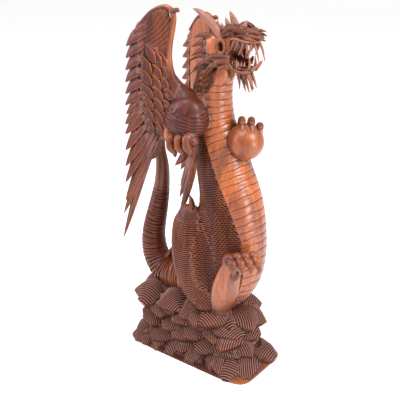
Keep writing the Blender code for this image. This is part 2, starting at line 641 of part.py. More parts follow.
def left_arm_and_orb():
    """Left foreleg reaching forward to hold an orb against the chest, three fingers over its top."""
    reach = [
        (-0.006, 0.070, 0.708, 0.036, 0.036), (0.024, 0.076, 0.660, 0.029, 0.029),
        (0.068, 0.072, 0.637, 0.021, 0.021), (0.100, 0.048, 0.646, 0.023, 0.023),
        (0.114, 0.030, 0.664, 0.022, 0.022),
    ]
    orb = ball("orb", ORB_CENTRE, (ORB_RADIUS, ORB_RADIUS, ORB_RADIUS), segments=20, rings=12)
    made = [orb, loft("left_arm", reach, sides=8)]
    centre = Vector(ORB_CENTRE)
    toward, along, up = Vector((0.605, -0.797, 0)), Vector((0.797, 0.605, 0)), Vector((0, 0, 1))
    for k, aside in enumerate((-0.010, 0.015, 0.037)):
        level = math.sqrt(ORB_RADIUS ** 2 - aside ** 2)
        stops = []
        for angle, off, radius in ((-78, 0.002, 0.010), (-38, 0.007, 0.0100), (-4, 0.0095, 0.0098),
                                   (20, 0.007, 0.0080), (40, 0.001, 0.0016)):
            turn = math.radians(angle)
            out = (toward * math.sin(turn) + up * math.cos(turn)) * (level + off)
            stops.append((*(centre + along * aside + out), radius, radius))
        made.append(loft(f"orb_finger_{k}", stops, sides=6, across=along))
    return made


def head():
    """Horned head with an open mouth, fangs, tongue, whiskers, beard, ears and mane."""
    pieces = [loft("neck_top", [(x, 0, z, d, w) for x, z, d, w in TORSO_LINE[:3]], sides=16, steps=2)]
    pieces.append(ball("skull", (0.074, 0, 0.928), (0.046, 0.042, 0.036)))
    pieces.append(loft("upper_jaw", UPPER_JAW, sides=8))
    pieces.append(loft("lower_jaw", LOWER_JAW, sides=8))
    pieces.append(loft("tongue", TONGUE, sides=6))
    for side in (-1, 1):
        def on(x, y, z):
            return (x, y * side, z)
        ear = ball(f"ear_{side}", on(0.070, 0.044, 0.924), (0.026, 0.014, 0.026), segments=10, rings=6)
        hollow = ball(f"ear_hollow_{side}", on(0.077, 0.060, 0.925), (0.012, 0.012, 0.015), segments=8,
                      rings=6)
        dig = ear.modifiers.new("dig", "BOOLEAN")
        dig.operation = "DIFFERENCE"
        dig.object = hollow
        pieces.append(ear)
        pieces.append(spike(f"horn_{side}", *HORNS[side], sides=8))
        for k, (root, tip, radius, bend) in enumerate(HEAD_SPIKES):
            pieces.append(spike(f"head_spike_{side}_{k}", on(*root), on(*tip), radius, on(*bend)))
    for k, (root, tip, radius, bend) in enumerate(MIDDLE_SPIKES):
        pieces.append(spike(f"middle_spike_{k}", root, tip, radius, bend))
    pieces += neck_mane()
    reach = FIGURE_HEIGHT
    level = pose(0, 0, NECK_PARTING).z + PART_GAP
    front = pose(CHIN_BACK, 0, 0).x
    below_neck = box("below_neck", (-reach, -reach, level - reach), (front, reach, level))
    carve("head", pieces, WOOD_RED, [below_neck], tangled=True)


dragon = bpy.data.collections.new("wooden_dragon")
cutters = bpy.data.collections.new("cutters")


def main():
    for leftover in list(bpy.data.objects):
        bpy.data.objects.remove(leftover)
    for group in (dragon, cutters):
        bpy.context.scene.collection.children.link(group)
    plinth()
    torso()
    tail()
    head()
    wing(-1)
    wing(1)


main()
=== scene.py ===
import json
import math
import bmesh
import bpy
import numpy as np
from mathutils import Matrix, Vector

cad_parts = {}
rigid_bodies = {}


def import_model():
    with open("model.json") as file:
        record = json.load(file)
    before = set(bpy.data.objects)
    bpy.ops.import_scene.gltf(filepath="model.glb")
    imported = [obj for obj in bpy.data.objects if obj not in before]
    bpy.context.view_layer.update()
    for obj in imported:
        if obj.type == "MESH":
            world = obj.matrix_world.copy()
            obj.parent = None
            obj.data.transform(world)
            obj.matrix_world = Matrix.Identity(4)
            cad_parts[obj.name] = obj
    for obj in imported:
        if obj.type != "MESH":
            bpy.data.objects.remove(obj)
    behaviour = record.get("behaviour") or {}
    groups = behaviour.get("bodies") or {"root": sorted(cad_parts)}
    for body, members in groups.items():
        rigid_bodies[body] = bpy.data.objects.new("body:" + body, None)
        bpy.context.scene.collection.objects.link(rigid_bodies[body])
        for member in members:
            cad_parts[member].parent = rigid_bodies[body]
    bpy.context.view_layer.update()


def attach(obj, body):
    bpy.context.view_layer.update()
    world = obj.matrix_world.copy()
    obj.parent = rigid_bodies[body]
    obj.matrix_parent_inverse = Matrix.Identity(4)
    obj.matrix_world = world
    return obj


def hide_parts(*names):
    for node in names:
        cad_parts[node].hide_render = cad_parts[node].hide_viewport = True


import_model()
bpy.ops.object.select_all(action="DESELECT")

# Camera, floor and light
# The photo looks down on the dragon's right front quarter, against a plain white ground,
# with soft light from above and in front and a faint violet sheen from behind on its right.
CAMERA_PLACE = (1.171, -1.562, 1.320)
CAMERA_HEADING = (-0.605, 0.797)
CAMERA_PITCH = math.radians(23.3)
CAMERA_LENS = 68.4
FLOOR_SIZE = 12.0
FLOOR_WHITE = (0.96, 0.96, 0.96, 1.0)

heading = Vector((*CAMERA_HEADING, 0)).normalized()
sight = heading * math.cos(CAMERA_PITCH) - Vector((0, 0, math.sin(CAMERA_PITCH)))
bpy.ops.object.camera_add(location=CAMERA_PLACE, rotation=sight.to_track_quat("-Z", "Y").to_euler())
camera = bpy.context.object
camera.name = "camera"
camera.data.lens = CAMERA_LENS
camera.data.sensor_width = 36
bpy.context.scene.camera = camera

bpy.ops.mesh.primitive_plane_add(size=FLOOR_SIZE, location=(0, 0, 0))
floor = bpy.context.object
floor.name = "floor"
floor_finish = bpy.data.materials.new("pale_floor")
floor_finish.use_nodes = True
floor_finish.node_tree.nodes["Principled BSDF"].inputs["Base Color"].default_value = FLOOR_WHITE
floor_finish.node_tree.nodes["Principled BSDF"].inputs["Roughness"].default_value = 0.9
floor.data.materials.append(floor_finish)

room = bpy.data.worlds.new("studio")
bpy.context.scene.world = room
room.use_nodes = True
room.node_tree.nodes["Background"].inputs["Color"].default_value = (1.0, 1.0, 1.0, 1.0)
room.node_tree.nodes["Background"].inputs["Strength"].default_value = 0.98
bpy.context.scene.view_settings.view_transform = "Standard"


def softbox(name, place, aim, size, watts):
    """A square studio light that faces a point."""
    bpy.ops.object.light_add(type="AREA", location=place)
    lamp = bpy.context.object
    lamp.name = name
    lamp.data.shape = "SQUARE"
    lamp.data.size = size
    lamp.data.energy = watts
    lamp.rotation_euler = (Vector(aim) - Vector(place)).to_track_quat("-Z", "Y").to_euler()
    return lamp


softbox("key_light", (1.9, 0.1, 2.1), (0, 0, 0.55), 1.0, 52)
softbox("top_light", (-0.3, -0.9, 2.7), (0, 0, 0.5), 1.2, 32)
softbox("belly_light", (2.0, -0.1, 0.60), (0, 0, 0.55), 0.6, 13)
sheen_light = softbox("sheen_light", (-1.5, -1.3, 1.5), (0, 0, 0.5), 1.4, 34)
sheen_light.data.color = (0.90, 0.80, 1.0)
bpy.ops.object.select_all(action="DESELECT")

# The dragon carving
# One log of reddish suar wood carries the dragon, its orb and the rocks. It is cut with gouges and
# knives, sanded smooth on belly, orb and horns, and finished with a satin lacquer.
WOOD_RED = (0.080, 0.012, 0.007, 1.0)
WOOD_BROWN = (0.030, 0.007, 0.005, 1.0)
WOOD_HONEY = (0.300, 0.056, 0.008, 1.0)
WOOD_PALE_HONEY = (0.520, 0.135, 0.018, 1.0)
# Near black, used as painted shade in cuts, hollows and undersides
WOOD_PAINTED_SHADE = (0.004, 0.001, 0.001, 1.0)
# Pale pinkish cream of teeth and claws, also painted as a sheen on horns and rock crests
WOOD_CREAM_AND_SHEEN = (0.420, 0.210, 0.165, 1.0)


def add_node(tree, kind, place, **settings):
    node = tree.nodes.new(kind)
    node.location = place
    for key, value in settings.items():
        setattr(node, key, value)
    return node


def feed(tree, socket, value):
    """Gives an input its value: another node's output, or a plain number or colour."""
    if isinstance(value, bpy.types.NodeSocket):
        tree.links.new(value, socket)
    else:
        socket.default_value = value


def mix_colour(tree, factor, first, second):
    node = add_node(tree, "ShaderNodeMix", (0, 0), data_type="RGBA")
    for number, value in ((0, factor), (6, first), (7, second)):
        feed(tree, node.inputs[number], value)
    return node.outputs[2]


def ramp(tree, source, low, high):
    """Stretches a value so that low becomes 0 and high becomes 1."""
    node = add_node(tree, "ShaderNodeMapRange", (0, 0), clamp=True)
    node.inputs["From Min"].default_value = low
    node.inputs["From Max"].default_value = high
    tree.links.new(source, node.inputs["Value"])
    return node.outputs["Result"]


def maths(tree, operation, first, second):
    node = add_node(tree, "ShaderNodeMath", (0, 0), operation=operation)
    feed(tree, node.inputs[0], first)
    feed(tree, node.inputs[1], second)
    return node.outputs[0]


def suar_wood():
    """Lacquered suar wood: upright grain, honey where it is sanded, paler edges that are partly worn and
    partly a painted highlight, and painted shade in the cuts.
    """
    made = bpy.data.materials.new("lacquered_suar_wood")
    made.use_nodes = True
    tree = made.node_tree
    shader = tree.nodes["Principled BSDF"]
    place = add_node(tree, "ShaderNodeTexCoord", (-1800, 0))
    log = add_node(tree, "ShaderNodeMapping", (-1600, 0))
    log.inputs["Scale"].default_value = (1.0, 1.0, 0.07)
    tree.links.new(place.outputs["Object"], log.inputs["Vector"])

    def grain(scale, detail, roughness, distortion=0.0):
        noise = add_node(tree, "ShaderNodeTexNoise", (-1400, 0))
        noise.inputs["Scale"].default_value = scale
        noise.inputs["Detail"].default_value = detail
        noise.inputs["Roughness"].default_value = roughness
        noise.inputs["Distortion"].default_value = distortion
        tree.links.new(log.outputs["Vector"], noise.inputs["Vector"])
        return noise.outputs["Fac"]

    streaks = grain(75.0, 6.0, 0.62, 0.4)
    fibres = grain(420.0, 3.0, 0.55)
    bands = grain(16.0, 3.0, 0.5, 0.8)
    tone = add_node(tree, "ShaderNodeAttribute", (-1400, -400), attribute_name="carving_tone_and_painted_light")
    parts = add_node(tree, "ShaderNodeSeparateColor", (-1200, -400))
    tree.links.new(tone.outputs["Color"], parts.inputs["Color"])
    # Red is honey wood and painted highlights on raised edges, green is painted shade, blue is cream wood
    # and painted sheen
    honey_and_highlight, painted_shade, cream_and_sheen = parts.outputs["Red"], parts.outputs["Green"], parts.outputs["Blue"]
    surface = add_node(tree, "ShaderNodeNewGeometry", (-1400, -700))

    plain = mix_colour(tree, ramp(tree, streaks, 0.36, 0.66), WOOD_RED, WOOD_BROWN)
    warm = mix_colour(tree, ramp(tree, streaks, 0.38, 0.66), WOOD_PALE_HONEY, WOOD_HONEY)
    warm = mix_colour(tree, maths(tree, "MULTIPLY", ramp(tree, bands, 0.44, 0.70), 0.70), warm, WOOD_RED)
    body = mix_colour(tree, honey_and_highlight, plain, warm)
    fibre_mask = maths(tree, "MULTIPLY", ramp(tree, fibres, 0.52, 0.70), 0.40)
    body = mix_colour(tree, fibre_mask, body, WOOD_BROWN)
    body = mix_colour(tree, cream_and_sheen, body, WOOD_CREAM_AND_SHEEN)
    # Convex edges paler: partly wear, partly a painted highlight
    edges = ramp(tree, surface.outputs["Pointiness"], 0.52, 0.60)
    body = mix_colour(tree, maths(tree, "MULTIPLY", edges, 0.25), body, WOOD_PALE_HONEY)
    # Painted shade: the shade tone of the vertices, plus darkening of concave hollows found from pointiness
    shaded_cuts = maths(tree, "MAXIMUM", painted_shade, ramp(tree, surface.outputs["Pointiness"], 0.48, 0.40))
    body = mix_colour(tree, maths(tree, "MULTIPLY", shaded_cuts, 0.92), body, WOOD_PAINTED_SHADE)
    tree.links.new(body, shader.inputs["Base Color"])
    rough = maths(tree, "ADD", maths(tree, "MULTIPLY", streaks, 0.20), 0.36)
    rough = maths(tree, "SUBTRACT", rough, maths(tree, "MULTIPLY", honey_and_highlight, 0.14))
    rough = maths(tree, "ADD", rough, maths(tree, "MULTIPLY", shaded_cuts, 0.30))
    tree.links.new(rough, shader.inputs["Roughness"])
    open_faces = maths(tree, "SUBTRACT", 1.0, shaded_cuts)
    sheen = maths(tree, "ADD", maths(tree, "MULTIPLY", honey_and_highlight, 0.22), 0.24)
    tree.links.new(maths(tree, "MULTIPLY", open_faces, sheen), shader.inputs["Specular IOR Level"])
    polish = maths(tree, "ADD", maths(tree, "MULTIPLY", honey_and_highlight, 0.42), 0.12)
    tree.links.new(maths(tree, "MULTIPLY", open_faces, polish), shader.inputs["Coat Weight"])
    shader.inputs["Coat Roughness"].default_value = 0.24
    bump = add_node(tree, "ShaderNodeBump", (-300, -500))
    bump.inputs["Strength"].default_value = 0.25
    bump.inputs["Distance"].default_value = 0.0006
    tree.links.new(maths(tree, "ADD", streaks, fibres), bump.inputs["Height"])
    tree.links.new(bump.outputs["Normal"], shader.inputs["Normal"])
    return made


# Trunk, thighs and tail
# A limb is a row of stops (x, y, z, half depth, half width), joined by a smooth curve and wrapped in
# even rings of points, which the carving's relief then moves in or out.
shells = bpy.data.collections.new("carving_shells")
bpy.context.scene.collection.children.link(shells)


def smooth(stops, steps):
    """Stops joined by a Catmull-Rom curve, as an array of rows."""
    rows = np.array(stops, float)
    padded = np.vstack([2 * rows[0] - rows[1], rows, 2 * rows[-1] - rows[-2]])
    t = (np.arange(steps) / steps)[:, None]
    spans = [
        0.5 * (2 * b + (c - a) * t + (2 * a - 5 * b + 4 * c - d) * t ** 2 + (3 * b - a - 3 * c + d) * t ** 3)
        for a, b, c, d in zip(padded, padded[1:], padded[2:], padded[3:])
    ]
    return np.vstack([*spans, rows[-1:]])


def unit(vectors):
    return vectors / np.maximum(np.linalg.norm(vectors, axis=-1, keepdims=True), 1e-12)


def run_along(centres):
    """Distance along a line of points."""
    return np.concatenate([[0], np.cumsum(np.linalg.norm(np.diff(centres, axis=0), axis=1))])


def skin(rows, run, angle, across=(0, 1, 0)):
    """Points on a limb, each with its way out, from distances along it and angles from its depth axis."""
    centres = rows[:, :3]
    ahead = unit(np.gradient(centres, axis=0))
    across = np.broadcast_to(np.array(across, float), centres.shape)
    side = unit(across - (across * ahead).sum(1, keepdims=True) * ahead)
    depth = np.cross(ahead, side)
    line = run_along(centres)
    run, angle = np.broadcast_arrays(run, angle)

    def at(values):
        return np.stack([np.interp(run, line, column) for column in values.T], axis=-1)

    thick = np.maximum(at(rows[:, 3:5]), 0.0004)
    ring = at(depth) * (np.cos(angle) * thick[..., 0])[..., None]
    ring = ring + at(side) * (np.sin(angle) * thick[..., 1])[..., None]
    return at(centres) + ring, unit(ring)


def turns(sides):
    return np.linspace(-math.pi, math.pi, sides, endpoint=False)[None]


def tube(rows, sides, across=(0, 1, 0)):
    """Even rings round a line of rows: points, the way out at each, and the angles."""
    points, out = skin(rows, run_along(rows[:, :3])[:, None], turns(sides), across)
    return points, out, turns(sides)


def add_form(name, vertices, faces, tones):
    """Adds a closed form to the carving, with its tones of honey and painted highlight, painted shade, and
    cream and painted sheen kept on the vertices.
    """
    mesh = bpy.data.meshes.new(name)
    mesh.from_pydata(vertices.tolist(), [], faces)
    attribute = mesh.attributes.new("carving_tone_and_painted_light", "FLOAT_COLOR", "POINT")
    attribute.data.foreach_set("color", np.clip(tones, 0, 1).ravel())
    form = bmesh.new()
    form.from_mesh(mesh)
    bmesh.ops.recalc_face_normals(form, faces=form.faces)
    form.to_mesh(mesh)
    form.free()
    shells.objects.link(bpy.data.objects.new(name, mesh))


def shell(name, points, honey_and_highlight=0.0, painted_shade=0.0, cream_and_sheen=0.0):
    """A closed skin over a ring grid."""
    rings, sides = points.shape[:2]
    ends = [points[0].mean(axis=0), points[-1].mean(axis=0)]
    vertices = np.vstack([points.reshape(-1, 3), ends])
    first = (np.arange(rings - 1)[:, None] * sides + np.arange(sides)).ravel()
    after = (np.arange(rings - 1)[:, None] * sides + (np.arange(sides) + 1) % sides).ravel()
    faces = np.stack([first, after, after + sides, first + sides], axis=1).tolist()
    last = (rings - 1) * sides
    for k in range(sides):
        near = (k + 1) % sides
        faces.append((near, k, rings * sides))
        faces.append((last + k, last + near, rings * sides + 1))
    tones = np.ones((len(vertices), 4))
    for column, value in enumerate((honey_and_highlight, painted_shade, cream_and_sheen)):
        grid = np.broadcast_to(value, (rings, sides))
        tones[:-2, column] = grid.ravel()
        tones[-2, column], tones[-1, column] = grid[0].mean(), grid[-1].mean()
    add_form(name, vertices, faces, tones)


def ridge(distance, width):
    """1 on a line and falling smoothly to 0 at about twice the width."""
    return np.exp(-(distance / width) ** 2)


def to_groove(position, pitch):
    """Distance from the nearest of evenly spaced grooves."""
    return np.abs((position / pitch + 0.5) % 1.0 - 0.5) * pitch


# Blending of neighbouring masses, so that haunch runs into trunk as a carver would leave it
def distance_to(points, rows):
    """Distance of points outside a round limb, and the direction away from it."""
    a, b = rows[:-1, :3], rows[1:, :3]
    ra, rb = rows[:-1, 3:5].mean(axis=1), rows[1:, 3:5].mean(axis=1)
    best = np.full(len(points), 1e9)
    away = np.zeros((len(points), 3))
    for k in range(len(a)):
        span = b[k] - a[k]
        t = np.clip(((points - a[k]) @ span) / max(span @ span, 1e-12), 0, 1)
        offset = points - (a[k] + t[:, None] * span)
        length = np.linalg.norm(offset, axis=1)
        gap = length - (ra[k] + t * (rb[k] - ra[k]))
        closer = gap < best
        best[closer] = gap[closer]
        away[closer] = offset[closer] / np.maximum(length[closer, None], 1e-9)
    return best, away


def blended(points, out, limbs, reach):
    """Swells a ring grid where other limbs come near, so that their join is a fillet."""
    flat, way = points.reshape(-1, 3).copy(), out.reshape(-1, 3)
    for rows in limbs:
        gap, away = distance_to(flat, rows)
        close = np.clip((reach - np.maximum(gap, 0)) / reach, 0, 1)[:, None]
        flat += unit(way * (1 - 0.5 * close) + away * 0.5 * close) * close ** 2 * reach / 4
    return flat.reshape(points.shape)


TORSO_LINE = [
    (0.058, 0.930, 0.036, 0.033), (0.047, 0.868, 0.040, 0.038), (0.036, 0.814, 0.044, 0.043),
    (0.030, 0.760, 0.050, 0.050), (0.035, 0.705, 0.056, 0.056), (0.054, 0.640, 0.067, 0.066),
    (0.073, 0.570, 0.077, 0.074), (0.097, 0.495, 0.083, 0.079), (0.109, 0.420, 0.084, 0.080),
    (0.114, 0.350, 0.081, 0.077), (0.105, 0.285, 0.074, 0.072), (0.074, 0.235, 0.064, 0.066),
    (0.015, 0.225, 0.058, 0.060), (-0.040, 0.225, 0.052, 0.052), (-0.085, 0.217, 0.049, 0.048),
]
HAUNCH_LINE = [
    (-0.001, 0.069, 0.488, 0.008, 0.008), (-0.002, 0.070, 0.478, 0.021, 0.018),
    (-0.003, 0.070, 0.458, 0.032, 0.027), (-0.004, 0.071, 0.425, 0.043, 0.035),
    (-0.001, 0.071, 0.365, 0.049, 0.041), (0.010, 0.069, 0.305, 0.051, 0.042),
    (0.030, 0.064, 0.255, 0.048, 0.042), (0.065, 0.058, 0.222, 0.040, 0.038),
    (0.083, 0.055, 0.208, 0.030, 0.028), (0.094, 0.053, 0.200, 0.010, 0.010),
]
HIP_LINE = [(0.046, 0.044, 0.452, 0.022, 0.022), (0.044, 0.050, 0.395, 0.050, 0.046),
            (0.046, 0.053, 0.335, 0.057, 0.049), (0.050, 0.052, 0.280, 0.055, 0.046),
            (0.056, 0.046, 0.230, 0.044, 0.038)]
TAIL_LINE = [
    (-0.040, 0.222, 0.050, 0.050), (-0.085, 0.217, 0.049, 0.048), (-0.122, 0.215, 0.047, 0.046),
    (-0.160, 0.228, 0.043, 0.042), (-0.184, 0.264, 0.039, 0.038), (-0.190, 0.315, 0.035, 0.035),
    (-0.181, 0.368, 0.032, 0.032), (-0.167, 0.423, 0.028, 0.028), (-0.154, 0.487, 0.023, 0.023),
    (-0.150, 0.545, 0.019, 0.019), (-0.156, 0.600, 0.015, 0.014), (-0.150, 0.650, 0.011, 0.010),
    (-0.130, 0.685, 0.007, 0.006), (-0.105, 0.700, 0.002, 0.002),
]
SCALE_ROW = 0.0060
SCALE_WIDTH = 0.0084
SCALE_DEPTH = 0.0013
SCALE_STAGGER = 0.58
SCALE_UNDERCUT = 0.0007
PLATE_PITCH = 0.0200
PLATE_TOP = 0.850
PLATE_COLUMNS = 61
HIP_FILLET = 0.056
TAIL_FILLET = 0.020
TAIL_SIDES = 40
# Belly plate profile: share of the pitch, lift, and painted shade in the groove
PLATE_PROFILE = ((0.0, -0.0018, 1.0), (0.045, -0.0002, 0.25), (0.12, 0.0003, 0.0), (0.5, 0.0004, 0.0),
                 (0.90, 0.0002, 0.0), (0.96, -0.0002, 0.3))
PLATE_EDGE = [(0.18, 40), (0.30, 42), (0.38, 44), (0.43, 48), (0.50, 61), (0.57, 69), (0.64, 77), (0.75, 92),
              (0.87, 104), (0.95, 108)]
TAIL_PITCH = 0.0098
# Tail ring profile: share of the pitch, lift, and painted shade in the groove
RING_PROFILE = ((0.0, -0.0019, 1.0), (0.10, -0.0006, 0.4), (0.35, 0.0006, 0.0), (0.80, 0.0002, 0.0))
torso_rows = smooth([(x, 0, z, d, w) for x, z, d, w in TORSO_LINE], 24)
trunk = torso_rows[::6]
tail_rows = smooth([(x, 0, z, d, w) for x, z, d, w in TAIL_LINE], 22)


def sided(stops, side, steps):
    """A limb of the right (-1) or left (1) side."""
    return smooth([(x, y * side, z, d, w) for x, y, z, d, w in stops], steps)


def even_rows(rows, pitch):
    """The same line with its rows set at an even pitch."""
    run = run_along(rows[:, :3])
    target = np.linspace(0, run[-1], int(run[-1] / pitch) + 1)
    return np.stack([np.interp(target, run, column) for column in rows.T], axis=1)


def scaled(name, rows, around, limbs, reach, bare_above):
    """A limb covered in small overlapping scales: each starts low and ends in a raised, rounded edge."""
    length = run_along(rows[:, :3])[-1]
    sides = 2 * round(around / SCALE_WIDTH)
    column = np.arange(sides)
    runs, lifts = [np.zeros(sides)], [np.zeros(sides)]
    for row in range(int(length / SCALE_ROW) - 1):
        edge = (row + np.where((column + row) % 2, 1.0, SCALE_STAGGER)) * SCALE_ROW
        runs += [edge, edge + SCALE_UNDERCUT]
        lifts += [np.ones(sides), np.zeros(sides)]
    runs.append(np.full(sides, length))
    lifts.append(np.zeros(sides))
    run, lift = np.array(runs), np.array(lifts)
    points, out = skin(rows, run, turns(sides))
    points = blended(points, out, limbs, reach)
    kept = 1 - np.clip((points[:, :, 2] - bare_above) / 0.015, 0, 1)
    points = points + out * (SCALE_DEPTH * lift * kept)[:, :, None]
    # Painted highlight on each scale's raised edge, painted shade in the low band under it
    shell(name, points, honey_and_highlight=0.06 + 0.42 * lift * kept, painted_shade=(1 - lift) * kept)


def belly():
    """Smooth plates of throat and belly, standing a little proud of the scales, with a thin raised rim
    painted bright as a highlight and painted shade in the grooves.
    """
    count = int(0.86 / PLATE_PITCH)
    parts = [(k + part, lift, cut) for k in range(count) for part, lift, cut in PLATE_PROFILE]
    step, lift, cut = (np.array(column)[:, None] for column in zip(*parts))
    centre = even_rows(torso_rows, 0.002)
    level = np.interp(step * PLATE_PITCH, run_along(centre[:, :3]), centre[:, 2])
    half = np.radians(np.interp(level, *zip(*PLATE_EDGE)))
    across = np.concatenate([np.linspace(-1, 1, PLATE_COLUMNS), np.linspace(1, -1, 10)[1:-1]])[None]
    front = np.concatenate([np.ones(PLATE_COLUMNS), np.zeros(8)])[None]
    back_turn = half + (2 * math.pi - 2 * half) * (1 - across) / 2
    angle = np.where(front > 0, across * half, back_turn)
    wave = 0.0007 * np.sin(across * 7 + step * 2.2) + 0.0005 * np.sin(across * 13 + step * 4.1)
    run = step * PLATE_PITCH + (0.008 * across ** 2 + wave) * front
    points, out = skin(torso_rows, np.maximum(run, 0), angle)
    grooved = np.clip((PLATE_TOP - level) / 0.004, 0, 1) * front
    rim = ridge(np.abs(across) - 0.985, 0.02) * front
    throat = 0.005 * ridge(level - 0.855, 0.014) * (1 - across ** 2) * front
    height = 0.0016 + lift * grooved * (1 - rim) + 0.0008 * rim + throat
    inner = (1 - front) * 0.25
    middle = points[:, :PLATE_COLUMNS].mean(axis=1, keepdims=True)
    points = points + out * (height * front)[:, :, None]
    points = points + (middle - points) * (inner * np.ones_like(angle))[:, :, None]
    # Painted highlight on the rim, painted shade in the plate grooves
    shell("belly", points, honey_and_highlight=0.85 + 0.15 * rim + 0 * angle, painted_shade=cut * grooved * (1 - rim))


def torso():
    limbs = [sided(line, side, 6) for side in (-1, 1) for line in (HAUNCH_LINE, HIP_LINE)]
    scaled("torso", torso_rows, 0.42, limbs, HIP_FILLET, 0.870)
    belly()


def haunches():
    """Thighs with the knees drawn up, scaled all over, and the hips that carry them into the trunk."""
    for side in (-1, 1):
        thigh, hip = sided(HAUNCH_LINE, side, 12), sided(HIP_LINE, side, 12)
        scaled(f"haunch_{side}", thigh, 0.27, [trunk, hip[::3]], HIP_FILLET, 0.448)
        scaled(f"hip_{side}", hip, 0.27, [trunk, thigh[::3]], HIP_FILLET, 0.600)


def tail():
    """Tail lying on the rocks and turning up between the wings, ringed below and smooth above."""
    length = run_along(tail_rows[:, :3])[-1]
    chance = np.random.default_rng(5)
    marks = np.cumsum(chance.uniform(0.75, 1.25, int(length / TAIL_PITCH)) * TAIL_PITCH)
    marks = marks[marks < length - TAIL_PITCH]
    angle = turns(TAIL_SIDES)
    runs, shaded_cuts, lifts = [0 * angle[0]], [0.0], [0.0]
    for mark in marks:
        wave = 0.0012 * np.sin(angle[0] * 2 + mark * 300) + 0.0006 * np.sin(angle[0] * 5 + mark * 170)
        for part, lift, cut in RING_PROFILE:
            runs.append(mark + part * TAIL_PITCH * 0.75 + wave)
            shaded_cuts.append(cut)
            lifts.append(lift)
    runs.append(np.full(TAIL_SIDES, length))
    run, cut, lift = np.array(runs), np.array(shaded_cuts + [0.0])[:, None], np.array(lifts + [0.0])[:, None]
    points, out = skin(tail_rows, run, angle)
    ringed = np.clip((0.50 - points[:, :, 2].mean(axis=1, keepdims=True)) / 0.03, 0, 1) * (run > 0.02)
    points = blended(points, out, [trunk], TAIL_FILLET) + out * (lift * ringed)[:, :, None]
    # Painted shade in the ring grooves of the lower tail
    shell("tail", points, honey_and_highlight=0.22 + 0.20 * (1 - ringed), painted_shade=cut * 0.85 * ringed)


torso()
haunches()
tail()


def limb(name, stops, sides=20, steps=8, across=(0, 1, 0), honey_and_highlight=0.1, painted_shade=0.0, cream_and_sheen=0.0):
    """A plain smooth limb."""
    points, _, _ = tube(smooth(stops, steps), sides, across)
    shell(name, points, honey_and_highlight, painted_shade, cream_and_sheen)


def ball(name, centre, radii, honey_and_highlight=0.1, sides=32, rings=22, cream_and_sheen=0.0, painted_shade=0.0):
    """An egg-shaped form standing upright."""
    rise = np.linspace(-0.995, 0.995, rings) * math.pi / 2
    rows = np.stack([
        np.full(rings, centre[0]), np.full(rings, centre[1]), centre[2] + np.sin(rise) * radii[2],
        np.cos(rise) * radii[0], np.cos(rise) * radii[1],
    ], axis=1)
    points, _, _ = tube(rows, sides)
    shell(name, points, honey_and_highlight, painted_shade, cream_and_sheen)


def spike(name, root, tip, radius, bend=(0, 0, 0), across=(0, 1, 0), flat=1.0, honey_and_highlight=0.1, cream_and_sheen=0.0,
          groove=0.0, sides=12, steps=5):
    """A horn, claw, tooth or lock, bowed by bend; groove cuts a line down its two broad faces."""
    a, b, bow = np.array(root, float), np.array(tip, float), np.array(bend, float)
    stops = [
        (*a, radius * flat, radius),
        (*(a + (b - a) * 0.36 + bow), radius * 0.86 * flat, radius * 0.86),
        (*(a + (b - a) * 0.72 + bow * 0.75), radius * 0.52 * flat, radius * 0.52),
        (*b, radius * 0.06 * flat, radius * 0.06),
    ]
    rows = smooth(stops, steps)
    points, _, angle = tube(rows, sides, across)
    cut = ridge(np.abs(np.cos(angle)) - 1, 0.25) * groove
    centres = rows[:, None, :3]
    points = centres + (points - centres) * (1 - 0.45 * cut)[:, :, None]
    # Painted shade along the groove
    shell(name, points, honey_and_highlight, cut * 0.8, cream_and_sheen)


# Arms, paws and orb
# Carved with the rest: both shoulders swell into the wings, the right paw hangs in a loose fist,
# and the left one holds an orb against the chest.
UPPER_ARMS = {-1: (0.001, -0.083, 0.736), 1: (-0.010, 0.073, 0.722)}
UPPER_ARM_RADII = {-1: (0.061, 0.047, 0.056), 1: (0.044, 0.040, 0.054)}
SHOULDER_FILLET = 0.044
SCALLOP_PITCH = 0.0088
SCALLOP_DEPTH = 0.0011
PAW_FINGERS = 3
ORB_CENTRE = (0.130, 0.005, 0.677)
ORB_RADIUS = 0.049


def arm_stops(side):
    """Upper arm as one swelling with the shoulder and the root of the wing."""
    x, y, z = UPPER_ARMS[side]
    deep, wide, tall = UPPER_ARM_RADII[side]
    stops = []
    for rise in (-0.985, -0.90, -0.70, -0.40, -0.05, 0.25, 0.50):
        girth = math.sqrt(1 - rise ** 2)
        stops.append((x, y, z + rise * tall, deep * girth, wide * girth))
    return stops + [
        (x - 0.006, y * 0.92, z + 0.042, 0.038, 0.034), (x - 0.014, y * 0.88, z + 0.058, 0.026, 0.025),
        (-0.030, 0.076 * side, z + 0.076, 0.019, 0.019), (-0.041, 0.084 * side, z + 0.100, 0.014, 0.014),
    ]


def upper_arm(side):
    """Round shoulder with faint scallop lines, run smoothly into neck and wing."""
    centre, radii = UPPER_ARMS[side], UPPER_ARM_RADII[side]
    rows = even_rows(smooth(arm_stops(side), 12), 0.0022)
    points, out, angle = tube(rows, 60)
    points = blended(points, out, [trunk], SHOULDER_FILLET)
    level = points[:, :, 2] + points[:, :, 0] * 0.25
    scallop = level + 0.0022 * np.abs(np.sin(angle * 4.5))
    fading = np.clip((radii[2] * 0.80 - (points[:, :, 2] - centre[2])) / 0.012, 0, 1)
    line = ridge(to_groove(scallop, SCALLOP_PITCH), 0.0013) * fading
    points = points - out * (SCALLOP_DEPTH * line)[:, :, None]
    # Painted shade in the scallop lines, painted highlight on the lip just beside each
    shell(f"upper_arm_{side}", points, honey_and_highlight=0.02 + 0.25 * np.roll(line, 1, axis=0), painted_shade=line * 0.75)
    limb(f"shoulder_{side}", [
        (0.022, 0.030 * side, 0.758, 0.034, 0.030), (0.006, 0.052 * side, 0.768, 0.034, 0.032),
        (-0.008, 0.066 * side, 0.776, 0.026, 0.024),
    ], sides=32, honey_and_highlight=0.02)


